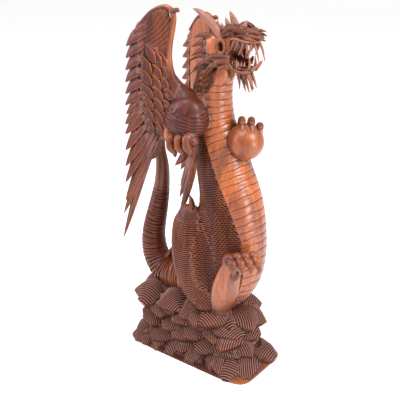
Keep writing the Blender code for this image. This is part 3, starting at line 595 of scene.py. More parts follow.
def right_paw():
    """Right forepaw in a loose fist below the upper arm: three fingers, dark claws turned under, a spur."""
    ball("paw", (0.006, -0.097, 0.686), (0.046, 0.028, 0.024), honey_and_highlight=0.1)
    limb("paw_wrist", [(-0.030, -0.078, 0.716, 0.020, 0.020), (-0.044, -0.098, 0.694, 0.014, 0.014),
                       (-0.024, -0.114, 0.682, 0.012, 0.012), (-0.010, -0.110, 0.676, 0.008, 0.008)],
         across=(1, 0, 0), honey_and_highlight=0.6)
    for k in range(PAW_FINGERS):
        x, z = -0.016 + 0.0265 * k, 0.692 + 0.0055 * k
        stops = [
            (x, -0.100, z + 0.004, 0.011, 0.011), (x - 0.002, -0.121, z - 0.003, 0.0120, 0.0115),
            (x + 0.001, -0.128, z - 0.014, 0.0105, 0.0100), (x + 0.004, -0.128, z - 0.024, 0.0115, 0.0110),
            (x + 0.007, -0.122, z - 0.036, 0.0080, 0.0080),
        ]
        limb(f"paw_finger_{k}", stops, sides=18, across=(1, 0, 0), honey_and_highlight=0.25)
        spike(f"paw_claw_{k}", (x + 0.008, -0.118, z - 0.034), (x - 0.002, -0.104, z - 0.060), 0.0078,
              (0.003, -0.003, 0), groove=0.3)
    spike("paw_spur", (0.014, -0.092, 0.655), (-0.018, -0.106, 0.610), 0.015, (0, 0, -0.004), groove=0.5)
    spike("paw_heel", (0.030, -0.088, 0.670), (0.034, -0.090, 0.618), 0.020, groove=0.5)


def left_arm_and_orb():
    """Left foreleg reaching forward to hold an orb against the chest, three clawed fingers over its top."""
    ball("orb", ORB_CENTRE, (ORB_RADIUS,) * 3, honey_and_highlight=0.55, sides=56, rings=40)
    stops = [
        (-0.006, 0.070, 0.708, 0.036, 0.036), (0.024, 0.076, 0.660, 0.029, 0.029),
        (0.068, 0.072, 0.637, 0.021, 0.021), (0.100, 0.048, 0.646, 0.023, 0.023),
        (0.114, 0.030, 0.664, 0.022, 0.022),
    ]
    limb("left_arm", stops, sides=28)
    centre = np.array(ORB_CENTRE)
    toward, along, up = np.array((0.605, -0.797, 0)), np.array((0.797, 0.605, 0)), np.array((0, 0, 1))
    for k, aside in enumerate((-0.010, 0.015, 0.037)):
        level = math.sqrt(ORB_RADIUS ** 2 - aside ** 2)

        def over(degrees, off):
            turn = math.radians(degrees)
            out = toward * math.sin(turn) + up * math.cos(turn)
            return centre + along * aside + out * (level + off)

        bends = ((-78, 0.002, 0.0100), (-38, 0.007, 0.0100), (-8, 0.0095, 0.0098), (10, 0.007, 0.0085),
                 (20, 0.0045, 0.0050))
        stops = [(*over(degrees, off), radius, radius) for degrees, off, radius in bends]
        limb(f"orb_finger_{k}", stops, sides=16, across=along, honey_and_highlight=0.15)
        spike(f"orb_claw_{k}", over(10, 0.007), over(40, 0.0015), 0.0058, across=along, cream_and_sheen=0.40)


upper_arm(-1)
upper_arm(1)
right_paw()
left_arm_and_orb()


# Hind feet
# The right foot is raised against the belly with its sole outward, the left one stands on the rocks.
def raised_foot():
    """Right hind foot: heel on the rocks, smooth sole, four knobbly toes curled over the top."""
    along_belly, outward_way = np.array((0.66, 0.75, 0)), np.array((0.90, -0.44, 0))
    stops = [
        (0.098, -0.050, 0.180, 0.024, 0.024), (0.108, -0.061, 0.215, 0.024, 0.031),
        (0.122, -0.073, 0.255, 0.022, 0.036), (0.137, -0.083, 0.300, 0.020, 0.035),
        (0.152, -0.088, 0.340, 0.019, 0.031), (0.168, -0.088, 0.374, 0.017, 0.028),
        (0.177, -0.085, 0.392, 0.010, 0.024),
    ]
    points, out, _ = tube(smooth(stops, 8), 40, along_belly)
    points = blended(points, out, [trunk, sided(HAUNCH_LINE, -1, 4)], 0.022)
    warm = np.clip((points[:, :, 2] - 0.195) / 0.05, 0.15, 0.80)
    shell("raised_foot", points, honey_and_highlight=warm)
    ball("thumb", (0.173, -0.094, 0.338), (0.0125, 0.0125, 0.0140), honey_and_highlight=0.25, sides=24, rings=16)
    up = np.array((0, 0, 1))
    for k in range(4):
        root = np.array((0.176, -0.082, 0.380)) + along_belly * 0.068 * (k / 3 - 0.5)
        reach, radius = 0.0435, 0.0128
        stops = [
            (*root, radius, radius),
            (*(root + outward_way * reach * 0.30 + up * reach * 0.34), radius * 1.10, radius * 1.12),
            (*(root + outward_way * reach * 0.50 + up * reach * 0.28), radius * 0.80, radius * 0.84),
            (*(root + outward_way * reach * 0.76 + up * reach * 0.12), radius * 0.98, radius * 1.00),
            (*(root + outward_way * reach * 0.90 - up * reach * 0.10), radius * 0.62, radius * 0.62),
        ]
        limb(f"raised_toe_{k}", stops, sides=20, across=along_belly, honey_and_highlight=0.16 + 0.12 * k)
        claw_root = root + outward_way * reach * 0.84 - up * reach * 0.02
        claw_tip = root + outward_way * reach * 0.82 - up * reach * 0.62
        spike(f"raised_claw_{k}", claw_root, claw_tip, 0.0074, outward_way * 0.006, across=along_belly,
              honey_and_highlight=0.2, cream_and_sheen=0.15, groove=0.3)


def planted_foot():
    """Left hind foot, flat on the rocks."""
    stops = [
        (0.020, 0.074, 0.198, 0.022, 0.024), (0.045, 0.080, 0.196, 0.018, 0.024),
        (0.062, 0.082, 0.192, 0.013, 0.022),
    ]
    limb("planted_foot", stops, sides=24)
    for k in range(3):
        y = 0.068 + 0.014 * k
        spike(f"planted_toe_{k}", (0.055, y, 0.193), (0.090, y + 0.003, 0.187), 0.0095, (0, 0, 0.010))


raised_foot()
planted_foot()


# Spikes down the back, tufts on the knees and the fin in the tail's bend, each a short grooved flame
def crest():
    line = smooth([(x, 0, z, d, w) for x, z, d, w in TORSO_LINE[2:11]], 2)
    for k, (x, _, z, depth, _) in enumerate(line[1:-3]):
        before, after = line[k], line[k + 2]
        ahead = unit(np.array((after[0] - before[0], 0, after[2] - before[2])))
        behind = np.array((ahead[2], 0, -ahead[0]))
        root = np.array((x, 0, z)) + behind * (depth - 0.006)
        tip = root + behind * 0.028 + np.array((0, 0, -0.006))
        spike(f"back_spike_{k}", root, tip, 0.0105, flat=1.0, groove=0.4)
    for side in (-1, 1):
        spike(f"knee_tuft_{side}", (0.006, 0.070 * side, 0.466), (0.004, 0.072 * side, 0.521), 0.0135,
              (0.007, 0, 0), groove=0.5)
        spike(f"knee_leaf_{side}", (0.016, 0.066 * side, 0.462), (0.024, 0.070 * side, 0.497), 0.0100,
              (0.004, 0, 0), groove=0.4)
    spike("tail_fin", (-0.140, 0, 0.258), (-0.118, 0, 0.300), 0.012, (0, 0, -0.004), groove=0.5)


crest()


# Wings
# Each is a bent leading bone with a thumb claw, a thin web, sixteen long feathers along its edge
# and leaf-shaped coverts that overlap like tiles. The left one sits a little lower.
WING_ROOT = [(-0.006, 0.068, 0.770, 0.026), (-0.026, 0.076, 0.802, 0.020)]
WING_BONE = [
    (-0.041, 0.842, 0.0140), (-0.049, 0.883, 0.0125), (-0.047, 0.922, 0.0120), (-0.039, 0.961, 0.0118),
    (-0.034, 0.992, 0.0115), (-0.041, 1.010, 0.0105), (-0.062, 1.016, 0.0090), (-0.095, 1.000, 0.0070),
    (-0.130, 0.962, 0.0045),
]
WING_CLAW = [
    (-0.036, 1.004, 0.0085), (-0.026, 1.009, 0.0062), (-0.018, 1.011, 0.0058), (-0.012, 1.008, 0.0025),
]
WING_SHIFT = {-1: (0.0, 0.0), 1: (-0.010, -0.043)}
WEB_FRONT = [
    (-0.045, 1.008), (-0.038, 0.970), (-0.046, 0.920), (-0.048, 0.880), (-0.036, 0.842), (-0.028, 0.812),
    (-0.030, 0.765), (-0.044, 0.715), (-0.062, 0.665), (-0.086, 0.615),
]
WEB_BACK = [
    (-0.060, 1.018), (-0.104, 0.990), (-0.124, 0.945), (-0.128, 0.900), (-0.129, 0.855), (-0.130, 0.810),
    (-0.132, 0.760), (-0.139, 0.710), (-0.134, 0.655), (-0.120, 0.600),
]
FEATHERS = [
    (-0.102, 0.972, -0.138, 0.941, 0.026), (-0.108, 0.950, -0.159, 0.911, 0.034),
    (-0.111, 0.921, -0.161, 0.880, 0.034), (-0.113, 0.890, -0.163, 0.848, 0.034),
    (-0.115, 0.858, -0.165, 0.816, 0.034), (-0.115, 0.827, -0.166, 0.784, 0.034),
    (-0.113, 0.797, -0.168, 0.753, 0.034), (-0.110, 0.776, -0.166, 0.729, 0.032),
    (-0.095, 0.773, -0.170, 0.700, 0.032), (-0.092, 0.755, -0.171, 0.672, 0.032),
    (-0.088, 0.738, -0.172, 0.626, 0.034), (-0.084, 0.718, -0.174, 0.579, 0.034),
    (-0.082, 0.703, -0.176, 0.531, 0.032), (-0.076, 0.693, -0.178, 0.476, 0.030),
    (-0.080, 0.668, -0.184, 0.437, 0.029), (-0.090, 0.648, -0.188, 0.362, 0.025),
]
FEATHER_THICKNESS = 0.0085
FEATHER_TILT = 0.16
WEB_THICKNESS = 0.0080
# Covert leaves by column: forward and height of root and tip
COVERTS = [
    (-0.104, 0.917, -0.084, 0.886), (-0.118, 0.887, -0.096, 0.857), (-0.122, 0.854, -0.097, 0.826),
    (-0.123, 0.815, -0.094, 0.790), (-0.120, 0.783, -0.093, 0.758), (-0.117, 0.752, -0.092, 0.726),
    (-0.084, 0.903, -0.067, 0.876), (-0.091, 0.869, -0.069, 0.845), (-0.094, 0.842, -0.071, 0.815),
    (-0.093, 0.811, -0.067, 0.787), (-0.092, 0.782, -0.067, 0.757), (-0.092, 0.751, -0.068, 0.725),
    (-0.065, 0.898, -0.051, 0.867), (-0.072, 0.868, -0.048, 0.846), (-0.071, 0.841, -0.050, 0.816),
    (-0.068, 0.810, -0.038, 0.792), (-0.068, 0.780, -0.044, 0.757), (-0.070, 0.748, -0.050, 0.724),
    (-0.114, 0.722, -0.092, 0.697), (-0.091, 0.720, -0.070, 0.694), (-0.069, 0.716, -0.054, 0.690),
]
COVERT_WIDTH = 0.0275
ARC_CENTRE = (-0.165, 1.060)
ARC_PITCH = 0.0092
WING_STAND = 0.088
WING_SPLAY = 0.30


def wing_point(side, x, z, lift=0.0):
    """A point of a wing, which splays outward towards its back edge; lift raises it off the outer face."""
    shift_x, shift_z = WING_SHIFT[side]
    return (x + shift_x, side * (WING_STAND + max(0.0, -0.04 - x) * WING_SPLAY + lift), z + shift_z)


def feather(name, root, tip, width, side, tilt, slim):
    """A long smooth ribbon, one edge proud of its neighbour and the other tucked under."""
    root, tip = np.array(root, float), np.array(tip, float)
    across = unit(unit(np.cross(tip - root, (0, 1, 0))) + np.array((0, tilt * side, 0)))
    half, bow = FEATHER_THICKNESS / 2, across * width * 0.20 * side
    stops = [
        (*root, half * 0.7, width * 0.30), (*(root + (tip - root) * 0.34 + bow), half, width * 0.50),
        (*(root + (tip - root) * 0.62 + bow * 0.8), half, width * (0.48 - 0.12 * slim)),
        (*(root + (tip - root) * 0.88 + bow * 0.2), half * 0.8, width * (0.24 - 0.08 * slim)),
        (*tip, half * 0.30, 0.0010),
    ]
    points, out, angle = tube(smooth(stops, 6), 20, across)
    over = np.sin(angle) + 0 * points[:, :, 0]
    edge = np.clip((np.abs(over) - 0.80) / 0.2, 0, 1)
    quill = ridge(over + 0.35, 0.10)
    points = points - out * (0.0005 * quill)[:, :, None]
    # Painted highlight along both edges, painted shade in the quill groove
    shell(name, points, honey_and_highlight=0.15 + 0.45 * edge + 0.25 * (side > 0), painted_shade=0.5 * quill)


def leaf(name, root, tip, width):
    """A covert: a short cupped leaf with a raised rim painted bright as a highlight and painted shade in its
    hollow, lowest at its root.
    """
    root, tip = np.array(root, float), np.array(tip, float)
    across = unit(np.cross(tip - root, (0, 1, 0)))
    tip = root + (tip - root) * 1.34
    middle = root + (tip - root) * 0.55
    stops = [(*root, 0.0016, width * 0.22), (*(root + (middle - root) * 0.5), 0.0026, width * 0.44),
             (*middle, 0.0032, width * 0.52), (*(middle + (tip - middle) * 0.6), 0.0034, width * 0.38),
             (*tip, 0.0014, width * 0.06)]
    points, out, angle = tube(smooth(stops, 4), 20, across)
    over = np.abs(np.sin(angle)) + 0 * points[:, :, 0]
    rim = ridge(over - 0.92, 0.10)
    hollow = np.clip(1 - over / 0.85, 0, 1) ** 0.5
    points = points + out * (0.0006 * rim - 0.0018 * hollow)[:, :, None]
    # Painted highlight on the rim, painted shade in the hollow
    shell(name, points, honey_and_highlight=0.08 + 0.50 * rim, painted_shade=0.15 * hollow)


def web(side, name):
    """The panel between bone and feathers, with curved engraved arcs towards its tip."""
    front = smooth([wing_point(side, x, z) for x, z in WEB_FRONT], 18)
    back = smooth([wing_point(side, x, z) for x, z in WEB_BACK], 18)
    angle = np.linspace(-math.pi, math.pi, 96, endpoint=False)
    middle, reach = (front + back) / 2, (back - front) / 2
    thin = np.array((0, WEB_THICKNESS / 2 * side, 0))
    swell = np.sign(np.sin(angle)) * np.abs(np.sin(angle)) ** 0.5
    points = middle[:, None] + reach[:, None] * np.cos(angle)[None, :, None]
    points = points + thin[None, None] * swell[None, :, None]
    x, z = points[:, :, 0] - WING_SHIFT[side][0], points[:, :, 2] - WING_SHIFT[side][1]
    to_centre = np.hypot(x - ARC_CENTRE[0], z - ARC_CENTRE[1])
    arc = ridge(to_groove(to_centre, ARC_PITCH), 0.0015) * np.clip((z - 0.915) / 0.01, 0, 1)
    points[:, :, 1] -= side * np.sign(swell)[None] * 0.0006 * arc
    # Painted highlight on the lip just beside each arc, painted shade in the arcs
    tone = (0.10 if side < 0 else 0.75) + 0.30 * np.roll(arc, 2, axis=0)
    shell(f"{name}_web", points, honey_and_highlight=tone, painted_shade=arc * 0.25)


def wing(side):
    name = "right_wing" if side < 0 else "left_wing"
    sprout = [(x, side * y, z, r, r) for x, y, z, r in WING_ROOT]
    thin = np.interp([z for _, z, _ in WING_BONE], (0.83, 0.90), (0.90, 0.66))
    arm = [(*wing_point(side, x + r * (1 - part), z), r * part, r * part)
           for (x, z, r), part in zip(WING_BONE, thin)]
    rows = even_rows(smooth([*sprout, *arm], 10), 0.0016)
    points, out, angle = tube(rows, 32)
    points = blended(points, out, [trunk], 0.024)
    run = run_along(rows[:, :3])[:, None]
    level = rows[:, 2:3] - WING_SHIFT[side][1]
    inner = np.clip(1 - np.abs(np.cos(angle) - 0.35) / 0.55, 0, 1) ** 0.5 * (np.sin(angle) * side > 0)
    notch = ridge(to_groove(run, 0.0060), 0.0013) * inner * np.clip((0.950 - level) / 0.02, 0, 1)
    notch = notch * np.clip((level - 0.800) / 0.02, 0, 1)
    points = points - out * (0.0016 * notch)[:, :, None]
    # Painted highlight down the bone's forward side, painted shade in the notches
    lit = np.clip(-np.cos(angle) * 1.4 + 0.1, 0, 1) * np.clip((level - 0.845) / 0.03, 0, 1)
    shell(f"{name}_bone", points, honey_and_highlight=0.06 + lit * 0.55, painted_shade=notch * 0.8)
    claw = [(*wing_point(side, x, z), r, r) for x, z, r in WING_CLAW]
    limb(f"{name}_claw", claw, sides=16)
    web(side, name)
    for k, (x, z, tip_x, tip_z, width) in enumerate(FEATHERS):
        root, tip = wing_point(side, x, z, 0.002), wing_point(side, tip_x, tip_z)
        feather(f"{name}_feather_{k}", root, tip, width, side, FEATHER_TILT, k < 8)
    for k, (x, z, tip_x, tip_z) in enumerate(COVERTS):
        root, tip = wing_point(side, x, z, 0.0035), wing_point(side, tip_x, tip_z, 0.0065)
        leaf(f"{name}_covert_{k}", root, tip, COVERT_WIDTH)


wing(-1)
wing(1)


# Head
# Horned, with a leaf-like nose, open jaws full of teeth, long whiskers, a beard, and a mane of
# flame-shaped locks that runs down the neck. All of it is cut free with small knives.
UPPER_JAW = [
    (0.070, 0, 0.945, 0.026, 0.036), (0.100, 0, 0.957, 0.020, 0.036), (0.128, 0, 0.957, 0.014, 0.031),
    (0.150, 0, 0.956, 0.012, 0.023), (0.166, 0, 0.952, 0.010, 0.015), (0.174, 0, 0.948, 0.005, 0.008),
]
LOWER_JAW = [
    (0.070, 0, 0.900, 0.020, 0.030), (0.098, 0, 0.884, 0.013, 0.030), (0.122, 0, 0.873, 0.010, 0.025),
    (0.142, 0, 0.870, 0.009, 0.018), (0.154, 0, 0.876, 0.005, 0.009),
]
TONGUE = [
    (0.080, 0, 0.900, 0.012, 0.018), (0.105, 0, 0.892, 0.009, 0.015), (0.130, 0, 0.887, 0.007, 0.012),
    (0.144, 0, 0.893, 0.005, 0.008), (0.149, 0, 0.904, 0.002, 0.003),
]
# Long horns of the right and left side: forward, across, height, radius
HORNS = {
    -1: [(0.072, -0.029, 0.946, 0.0115), (0.053, -0.034, 0.975, 0.0105), (0.031, -0.037, 0.993, 0.0088),
         (0.011, -0.039, 1.005, 0.0060), (-0.006, -0.040, 1.010, 0.0012)],
    1: [(0.080, 0.028, 0.948, 0.0100), (0.069, 0.033, 0.970, 0.0088), (0.057, 0.039, 0.988, 0.0060),
        (0.046, 0.045, 0.997, 0.0012)],
}
# Strips, each cut on both sides: forward, distance across and height of three or four points,
# then radius at root and end, honey tone and cream tone
STRIPS = [
    ([(0.088, 0.036, 0.941), (0.116, 0.032, 0.948), (0.141, 0.027, 0.943), (0.163, 0.018, 0.943),
      (0.178, 0.010, 0.944)], 0.0036, 0.0018, 0.45, 0.2),
    ([(0.082, 0.030, 0.957), (0.099, 0.033, 0.972), (0.118, 0.033, 0.971), (0.137, 0.026, 0.964),
      (0.153, 0.016, 0.957)], 0.0080, 0.0035, 0.0, 0.0),
    ([(0.090, 0.033, 0.900), (0.099, 0.033, 0.883), (0.112, 0.030, 0.870), (0.133, 0.024, 0.865),
      (0.152, 0.014, 0.868)], 0.0050, 0.0034, 0.3, 0.10),
    ([(0.150, 0.014, 0.868), (0.161, 0.009, 0.879), (0.169, 0.006, 0.888), (0.175, 0.004, 0.896)],
     0.0038, 0.0012, 0.4, 0.2),
    ([(0.116, 0.031, 0.946), (0.107, 0.033, 0.928), (0.095, 0.034, 0.907)], 0.0042, 0.0022, 0.3, 0.10),
    ([(0.124, 0.030, 0.944), (0.120, 0.030, 0.932), (0.112, 0.030, 0.919)], 0.0040, 0.0015, 0.3, 0.10),
    ([(0.138, 0.027, 0.943), (0.134, 0.028, 0.928), (0.125, 0.028, 0.909)], 0.0040, 0.0015, 0.3, 0.10),
    ([(0.144, 0.022, 0.942), (0.146, 0.022, 0.928), (0.144, 0.021, 0.914)], 0.0040, 0.0008, 0.3, 0.35),
    ([(0.155, 0.018, 0.942), (0.153, 0.018, 0.925), (0.146, 0.016, 0.904)], 0.0046, 0.0008, 0.3, 0.35),
    ([(0.156, 0.012, 0.944), (0.168, 0.013, 0.922), (0.176, 0.013, 0.894)], 0.0036, 0.0010, 0.3, 0.30),
    ([(0.146, 0.013, 0.870), (0.149, 0.013, 0.886), (0.147, 0.013, 0.903)], 0.0044, 0.0008, 0.3, 0.35),
    ([(0.116, 0.024, 0.872), (0.118, 0.024, 0.884), (0.116, 0.023, 0.896)], 0.0038, 0.0008, 0.3, 0.50),
    ([(0.134, 0.010, 0.956), (0.156, 0.014, 0.966), (0.176, 0.014, 0.966)], 0.0064, 0.0012, 0.1, 0.05),
    ([(0.134, 0.016, 0.953), (0.158, 0.020, 0.957), (0.178, 0.016, 0.955)], 0.0062, 0.0012, 0.1, 0.05),
    ([(0.134, 0.020, 0.950), (0.154, 0.022, 0.950), (0.169, 0.020, 0.948)], 0.0056, 0.0012, 0.2, 0.10),
    ([(0.100, 0.018, 0.868), (0.099, 0.016, 0.852), (0.094, 0.013, 0.836)], 0.0055, 0.0010, 0.1, 0.15),
    ([(0.114, 0.014, 0.866), (0.117, 0.011, 0.846), (0.118, 0.009, 0.818)], 0.0055, 0.0010, 0.1, 0.15),
    ([(0.126, 0.010, 0.866), (0.137, 0.009, 0.840), (0.146, 0.006, 0.812)], 0.0055, 0.0010, 0.1, 0.15),
    ([(0.136, 0.010, 0.866), (0.148, 0.009, 0.845), (0.159, 0.006, 0.824)], 0.0050, 0.0010, 0.1, 0.35),
    ([(0.098, 0.036, 0.945), (0.100, 0.041, 0.920), (0.094, 0.043, 0.897)], 0.0070, 0.0012, 0.1, 0.0),
    ([(0.050, 0.036, 0.946), (0.028, 0.048, 0.950), (0.006, 0.052, 0.942)], 0.0100, 0.0012, 0.1, 0.0),
    ([(0.044, 0.038, 0.930), (0.022, 0.050, 0.930), (0.000, 0.054, 0.918)], 0.0100, 0.0012, 0.1, 0.0),
    ([(0.044, 0.038, 0.914), (0.022, 0.048, 0.910), (-0.002, 0.052, 0.894)], 0.0100, 0.0012, 0.1, 0.0),
    ([(0.074, 0.026, 0.956), (0.066, 0.030, 0.973), (0.063, 0.032, 0.989)], 0.0070, 0.0010, 0.1, 0.35),
    ([(0.083, 0.024, 0.960), (0.077, 0.028, 0.972), (0.074, 0.030, 0.982)], 0.0058, 0.0010, 0.1, 0.35),
]
# The same for the middle line: tufts of nose and brow, crest, chin and the back of the head
MIDDLE_STRIPS = [
    ([(0.120, 0, 0.960), (0.123, 0, 0.976), (0.129, 0, 0.990)], 0.0085, 0.0010, 0.5, 0.40),
    ([(0.107, 0, 0.966), (0.098, 0, 0.980), (0.095, 0, 0.994)], 0.0080, 0.0010, 0.2, 0.45),
    ([(0.080, 0, 0.960), (0.071, 0, 0.977), (0.065, 0, 0.990)], 0.0080, 0.0010, 0.2, 0.45),
    ([(0.052, 0, 0.950), (0.034, 0, 0.966), (0.014, 0, 0.968)], 0.0110, 0.0012, 0.1, 0.0),
    ([(0.030, 0, 0.930), (0.008, 0, 0.926), (-0.012, 0, 0.908)], 0.0115, 0.0012, 0.1, 0.0),
    ([(0.028, 0, 0.908), (0.006, 0, 0.900), (-0.014, 0, 0.878)], 0.0115, 0.0012, 0.1, 0.0),
    ([(0.130, 0, 0.868), (0.144, 0, 0.846), (0.152, 0, 0.820)], 0.0065, 0.0010, 0.1, 0.15),
    ([(0.112, 0, 0.868), (0.121, 0, 0.842), (0.130, 0, 0.812)], 0.0065, 0.0010, 0.1, 0.15),
]


RING_STEPS = 40
RING_SIDES = 14


def ring(name, centre, radius, thick, side, honey_and_highlight, squash=1.2):
    """A raised ring on the side of the head, such as the rim of an ear."""
    turn = np.linspace(0, 2 * math.pi, RING_STEPS, endpoint=False)
    around = np.linspace(0, 2 * math.pi, RING_SIDES, endpoint=False)
    out = radius + thick * np.cos(around)[None]
    x = centre[0] + out * np.cos(turn)[:, None]
    z = centre[2] + out * squash * np.sin(turn)[:, None]
    y = centre[1] * side + side * thick * np.sin(around)[None] + 0 * x
    vertices = np.stack([x, y, z], axis=2).reshape(-1, 3)
    faces = []
    for i in range(RING_STEPS):
        here, there = i * RING_SIDES, (i + 1) % RING_STEPS * RING_SIDES
        for j in range(RING_SIDES):
            near = (j + 1) % RING_SIDES
            faces.append((here + j, here + near, there + near, there + j))
    add_form(name, vertices, faces, np.tile((honey_and_highlight, 0.0, 0.0, 1.0), (len(vertices), 1)))


def strip(name, points, root, end, honey_and_highlight, cream_and_sheen):
    """A tapering strand through its points, thickest near the root."""
    share = np.linspace(0, 1, len(points)) ** 1.6
    stops = [(*point, *[root + (end - root) * part] * 2) for point, part in zip(points, share)]
    limb(name, stops, sides=12, steps=5, across=(0.25, 1, 0.1), honey_and_highlight=honey_and_highlight, cream_and_sheen=cream_and_sheen)


JAW_LOCKS = 11
MANE_ROWS = 6
MANE_TOP = 0.872
MANE_PITCH = 0.0165


def head():
    ball("skull", (0.064, 0, 0.926), (0.040, 0.041, 0.036))
    limb("upper_jaw", UPPER_JAW, sides=28, honey_and_highlight=0.05)
    limb("lower_jaw", LOWER_JAW, sides=28, honey_and_highlight=0.05)
    # The tongue is darkened with painted shade inside the mouth
    limb("tongue", TONGUE, sides=20, painted_shade=0.75)
    for side in (-1, 1):
        def on(x, y, z):
            return (x, y * side, z)
        ball(f"cheek_plate_{side}", on(0.050, 0.040, 0.918), (0.0295, 0.011, 0.034), honey_and_highlight=0.85)
        ring(f"ear_rim_{side}", (0.083, 0.045, 0.927), 0.0110, 0.0036, side, 0.35, 1.55)
        # Painted shade in the hollow of the ear
        ball(f"ear_cup_{side}", on(0.083, 0.038, 0.927), (0.011, 0.006, 0.016), painted_shade=0.95)
        # The eyes are darkened with painted shade
        ball(f"eye_{side}", on(0.117, 0.031, 0.961), (0.007, 0.006, 0.0062), painted_shade=0.8, sides=20, rings=14)
        ball(f"nostril_{side}", on(0.146, 0.015, 0.966), (0.0075, 0.0065, 0.0070), 0.2, sides=20, rings=14)
        ball(f"jaw_joint_{side}", on(0.074, 0.032, 0.900), (0.022, 0.014, 0.020), honey_and_highlight=0.3)
        horn = [(x, y, z, r, r) for x, y, z, r in HORNS[side]]
        # The cream on the horns is a painted sheen
        limb(f"horn_{side}", horn, honey_and_highlight=0.20, cream_and_sheen=0.42)
        for k, (points, root, end, honey_and_highlight, cream_and_sheen) in enumerate(STRIPS):
            strip(f"strip_{side}_{k}", [on(*point) for point in points], root, end, honey_and_highlight, cream_and_sheen)
        for k in range(JAW_LOCKS):
            part = k / (JAW_LOCKS - 1)
            root = (0.106 - 0.034 * (k % 3) / 2, 0.040, 0.902 - 0.026 * part)
            sweep = 0.078 - 0.042 * part + 0.012 * (k % 3)
            fall = 0.022 + 0.018 * (k % 2) + 0.008 * part
            middle = (root[0] - 0.5 * sweep, 0.052, root[2] + 0.001 - 0.006 * (k % 2))
            tip = (root[0] - sweep, 0.050, root[2] - fall)
            strip(f"jaw_lock_{side}_{k}", [on(*root), on(*middle), on(*tip)], 0.0062, 0.0008,
                  0.04 + 0.12 * (k % 2), 0)
        for k in range(7):
            x = 0.106 + 0.0075 * k
            wide = 0.028 - 0.0022 * k
            spike(f"tooth_{side}_{k}", on(x, wide, 0.945), on(x, wide, 0.933), 0.0028, cream_and_sheen=0.6, sides=8)
            if k < 5:
                root, tip = on(x, wide - 0.002, 0.880), on(x, wide - 0.002, 0.892)
                spike(f"low_tooth_{side}_{k}", root, tip, 0.0026, cream_and_sheen=0.6, sides=8)
    for k, (points, root, end, honey_and_highlight, cream_and_sheen) in enumerate(MIDDLE_STRIPS):
        strip(f"middle_strip_{k}", points, root, end, honey_and_highlight, cream_and_sheen)


def mane():
    """Flame-shaped locks, row over row, swept back round the neck."""
    for row in range(MANE_ROWS):
        height = MANE_TOP - MANE_PITCH * row
        count = 13 if row % 2 else 14
        for k in range(count):
            turn = math.radians(-124 + 248 * (k + 0.5) / count)
            out = np.array((-math.cos(turn), math.sin(turn), 0))
            behind = math.cos(turn) ** 2
            root = np.array((0.048 - 0.005 * row, 0, height)) + out * 0.031
            tip = root + out * (0.014 + 0.008 * behind)
            tip = tip + np.array((-0.026 * (1 - behind), 0, -0.031 - 0.004 * (k % 2)))
            across = np.cross(out, (0, 0, 1))
            spike(f"mane_{row}_{k}", root, tip, 0.0092, out * 0.008, across=across, flat=0.65,
                  honey_and_highlight=0.08 + 0.14 * (k % 3), groove=0.6)


head()
mane()


# Rocks
# The plinth is a block with boulders round it like thick lozenges: domed above and cut by rows of
# gouge strokes, undercut below a sharp rim. Its underside is sawn flat.
PLINTH_LENGTH = 0.436
PLINTH_WIDTH = 0.224
PLINTH_HEIGHT = 0.182
PLINTH_WAIST = 0.09
PLINTH_LEAN = -0.022
BLOCK_SHARE = 0.70
ROCK_REACH = 0.058
ROCK_BURIED = 0.86
ROCK_WIDENING = 1.13
ROCK_THICKNESS = 0.40 * PLINTH_HEIGHT
ROCK_TILT = math.radians(18)
ROCK_SEED = 13
GOUGE_PITCH = 0.0058
GOUGE_DEPTH = 0.0019
# Rocks of a long and of a short side: share along it, share of the height, half width
SIDE_ROCKS = [
    (-0.40, 0.90, 0.043), (-0.28, 0.76, 0.042), (-0.11, 0.95, 0.049), (0.11, 0.95, 0.042),
    (0.31, 0.95, 0.045), (0.00, 0.76, 0.049), (0.21, 0.82, 0.042), (-0.16, 0.54, 0.054),
    (0.11, 0.56, 0.045), (0.33, 0.68, 0.045), (-0.31, 0.26, 0.053), (-0.02, 0.28, 0.050),
    (0.23, 0.38, 0.048), (-0.42, 0.52, 0.045), (-0.45, 0.10, 0.042), (-0.15, 0.06, 0.056),
    (0.10, 0.08, 0.053), (0.38, 0.16, 0.047), (-0.03, 0.46, 0.050), (0.47, 0.62, 0.044),
]
END_ROCKS = [
    (-0.05, 0.88, 0.046), (0.30, 0.82, 0.044), (0.12, 0.60, 0.048), (-0.22, 0.40, 0.046),
    (0.27, 0.22, 0.048), (-0.08, 0.07, 0.056),
]
CORNER_ROCKS = [(0.76, 0.052), (0.42, 0.054), (0.08, 0.040)]
# Low rocks spread on the skirt: forward, across, and whether they face a long side
SKIRT_ROCKS = [(-0.165, 0.061, True), (-0.105, 0.063, True), (-0.040, 0.061, True), (0.028, 0.063, True),
               (0.092, 0.061, True), (0.150, 0.063, True), (-0.160, 0.045, False), (0.176, 0.050, True)]
BARE_FACE_START = 0.14
SKIRT_ROCK_HEIGHT = 0.023
TOP_ROCKS = [
    (-0.130, -0.030), (-0.135, 0.035), (-0.060, -0.060), (-0.060, 0.062), (0.040, -0.066), (0.040, 0.066),
    (0.120, 0.020), (0.105, -0.030),
]
LOW_ROCK_HALF_WIDTH = 0.044
LOW_ROCK_TILT = math.radians(24)
TOP_ROCK_HALF_WIDTH = 0.046
TOP_ROCK_TILT = math.radians(8)


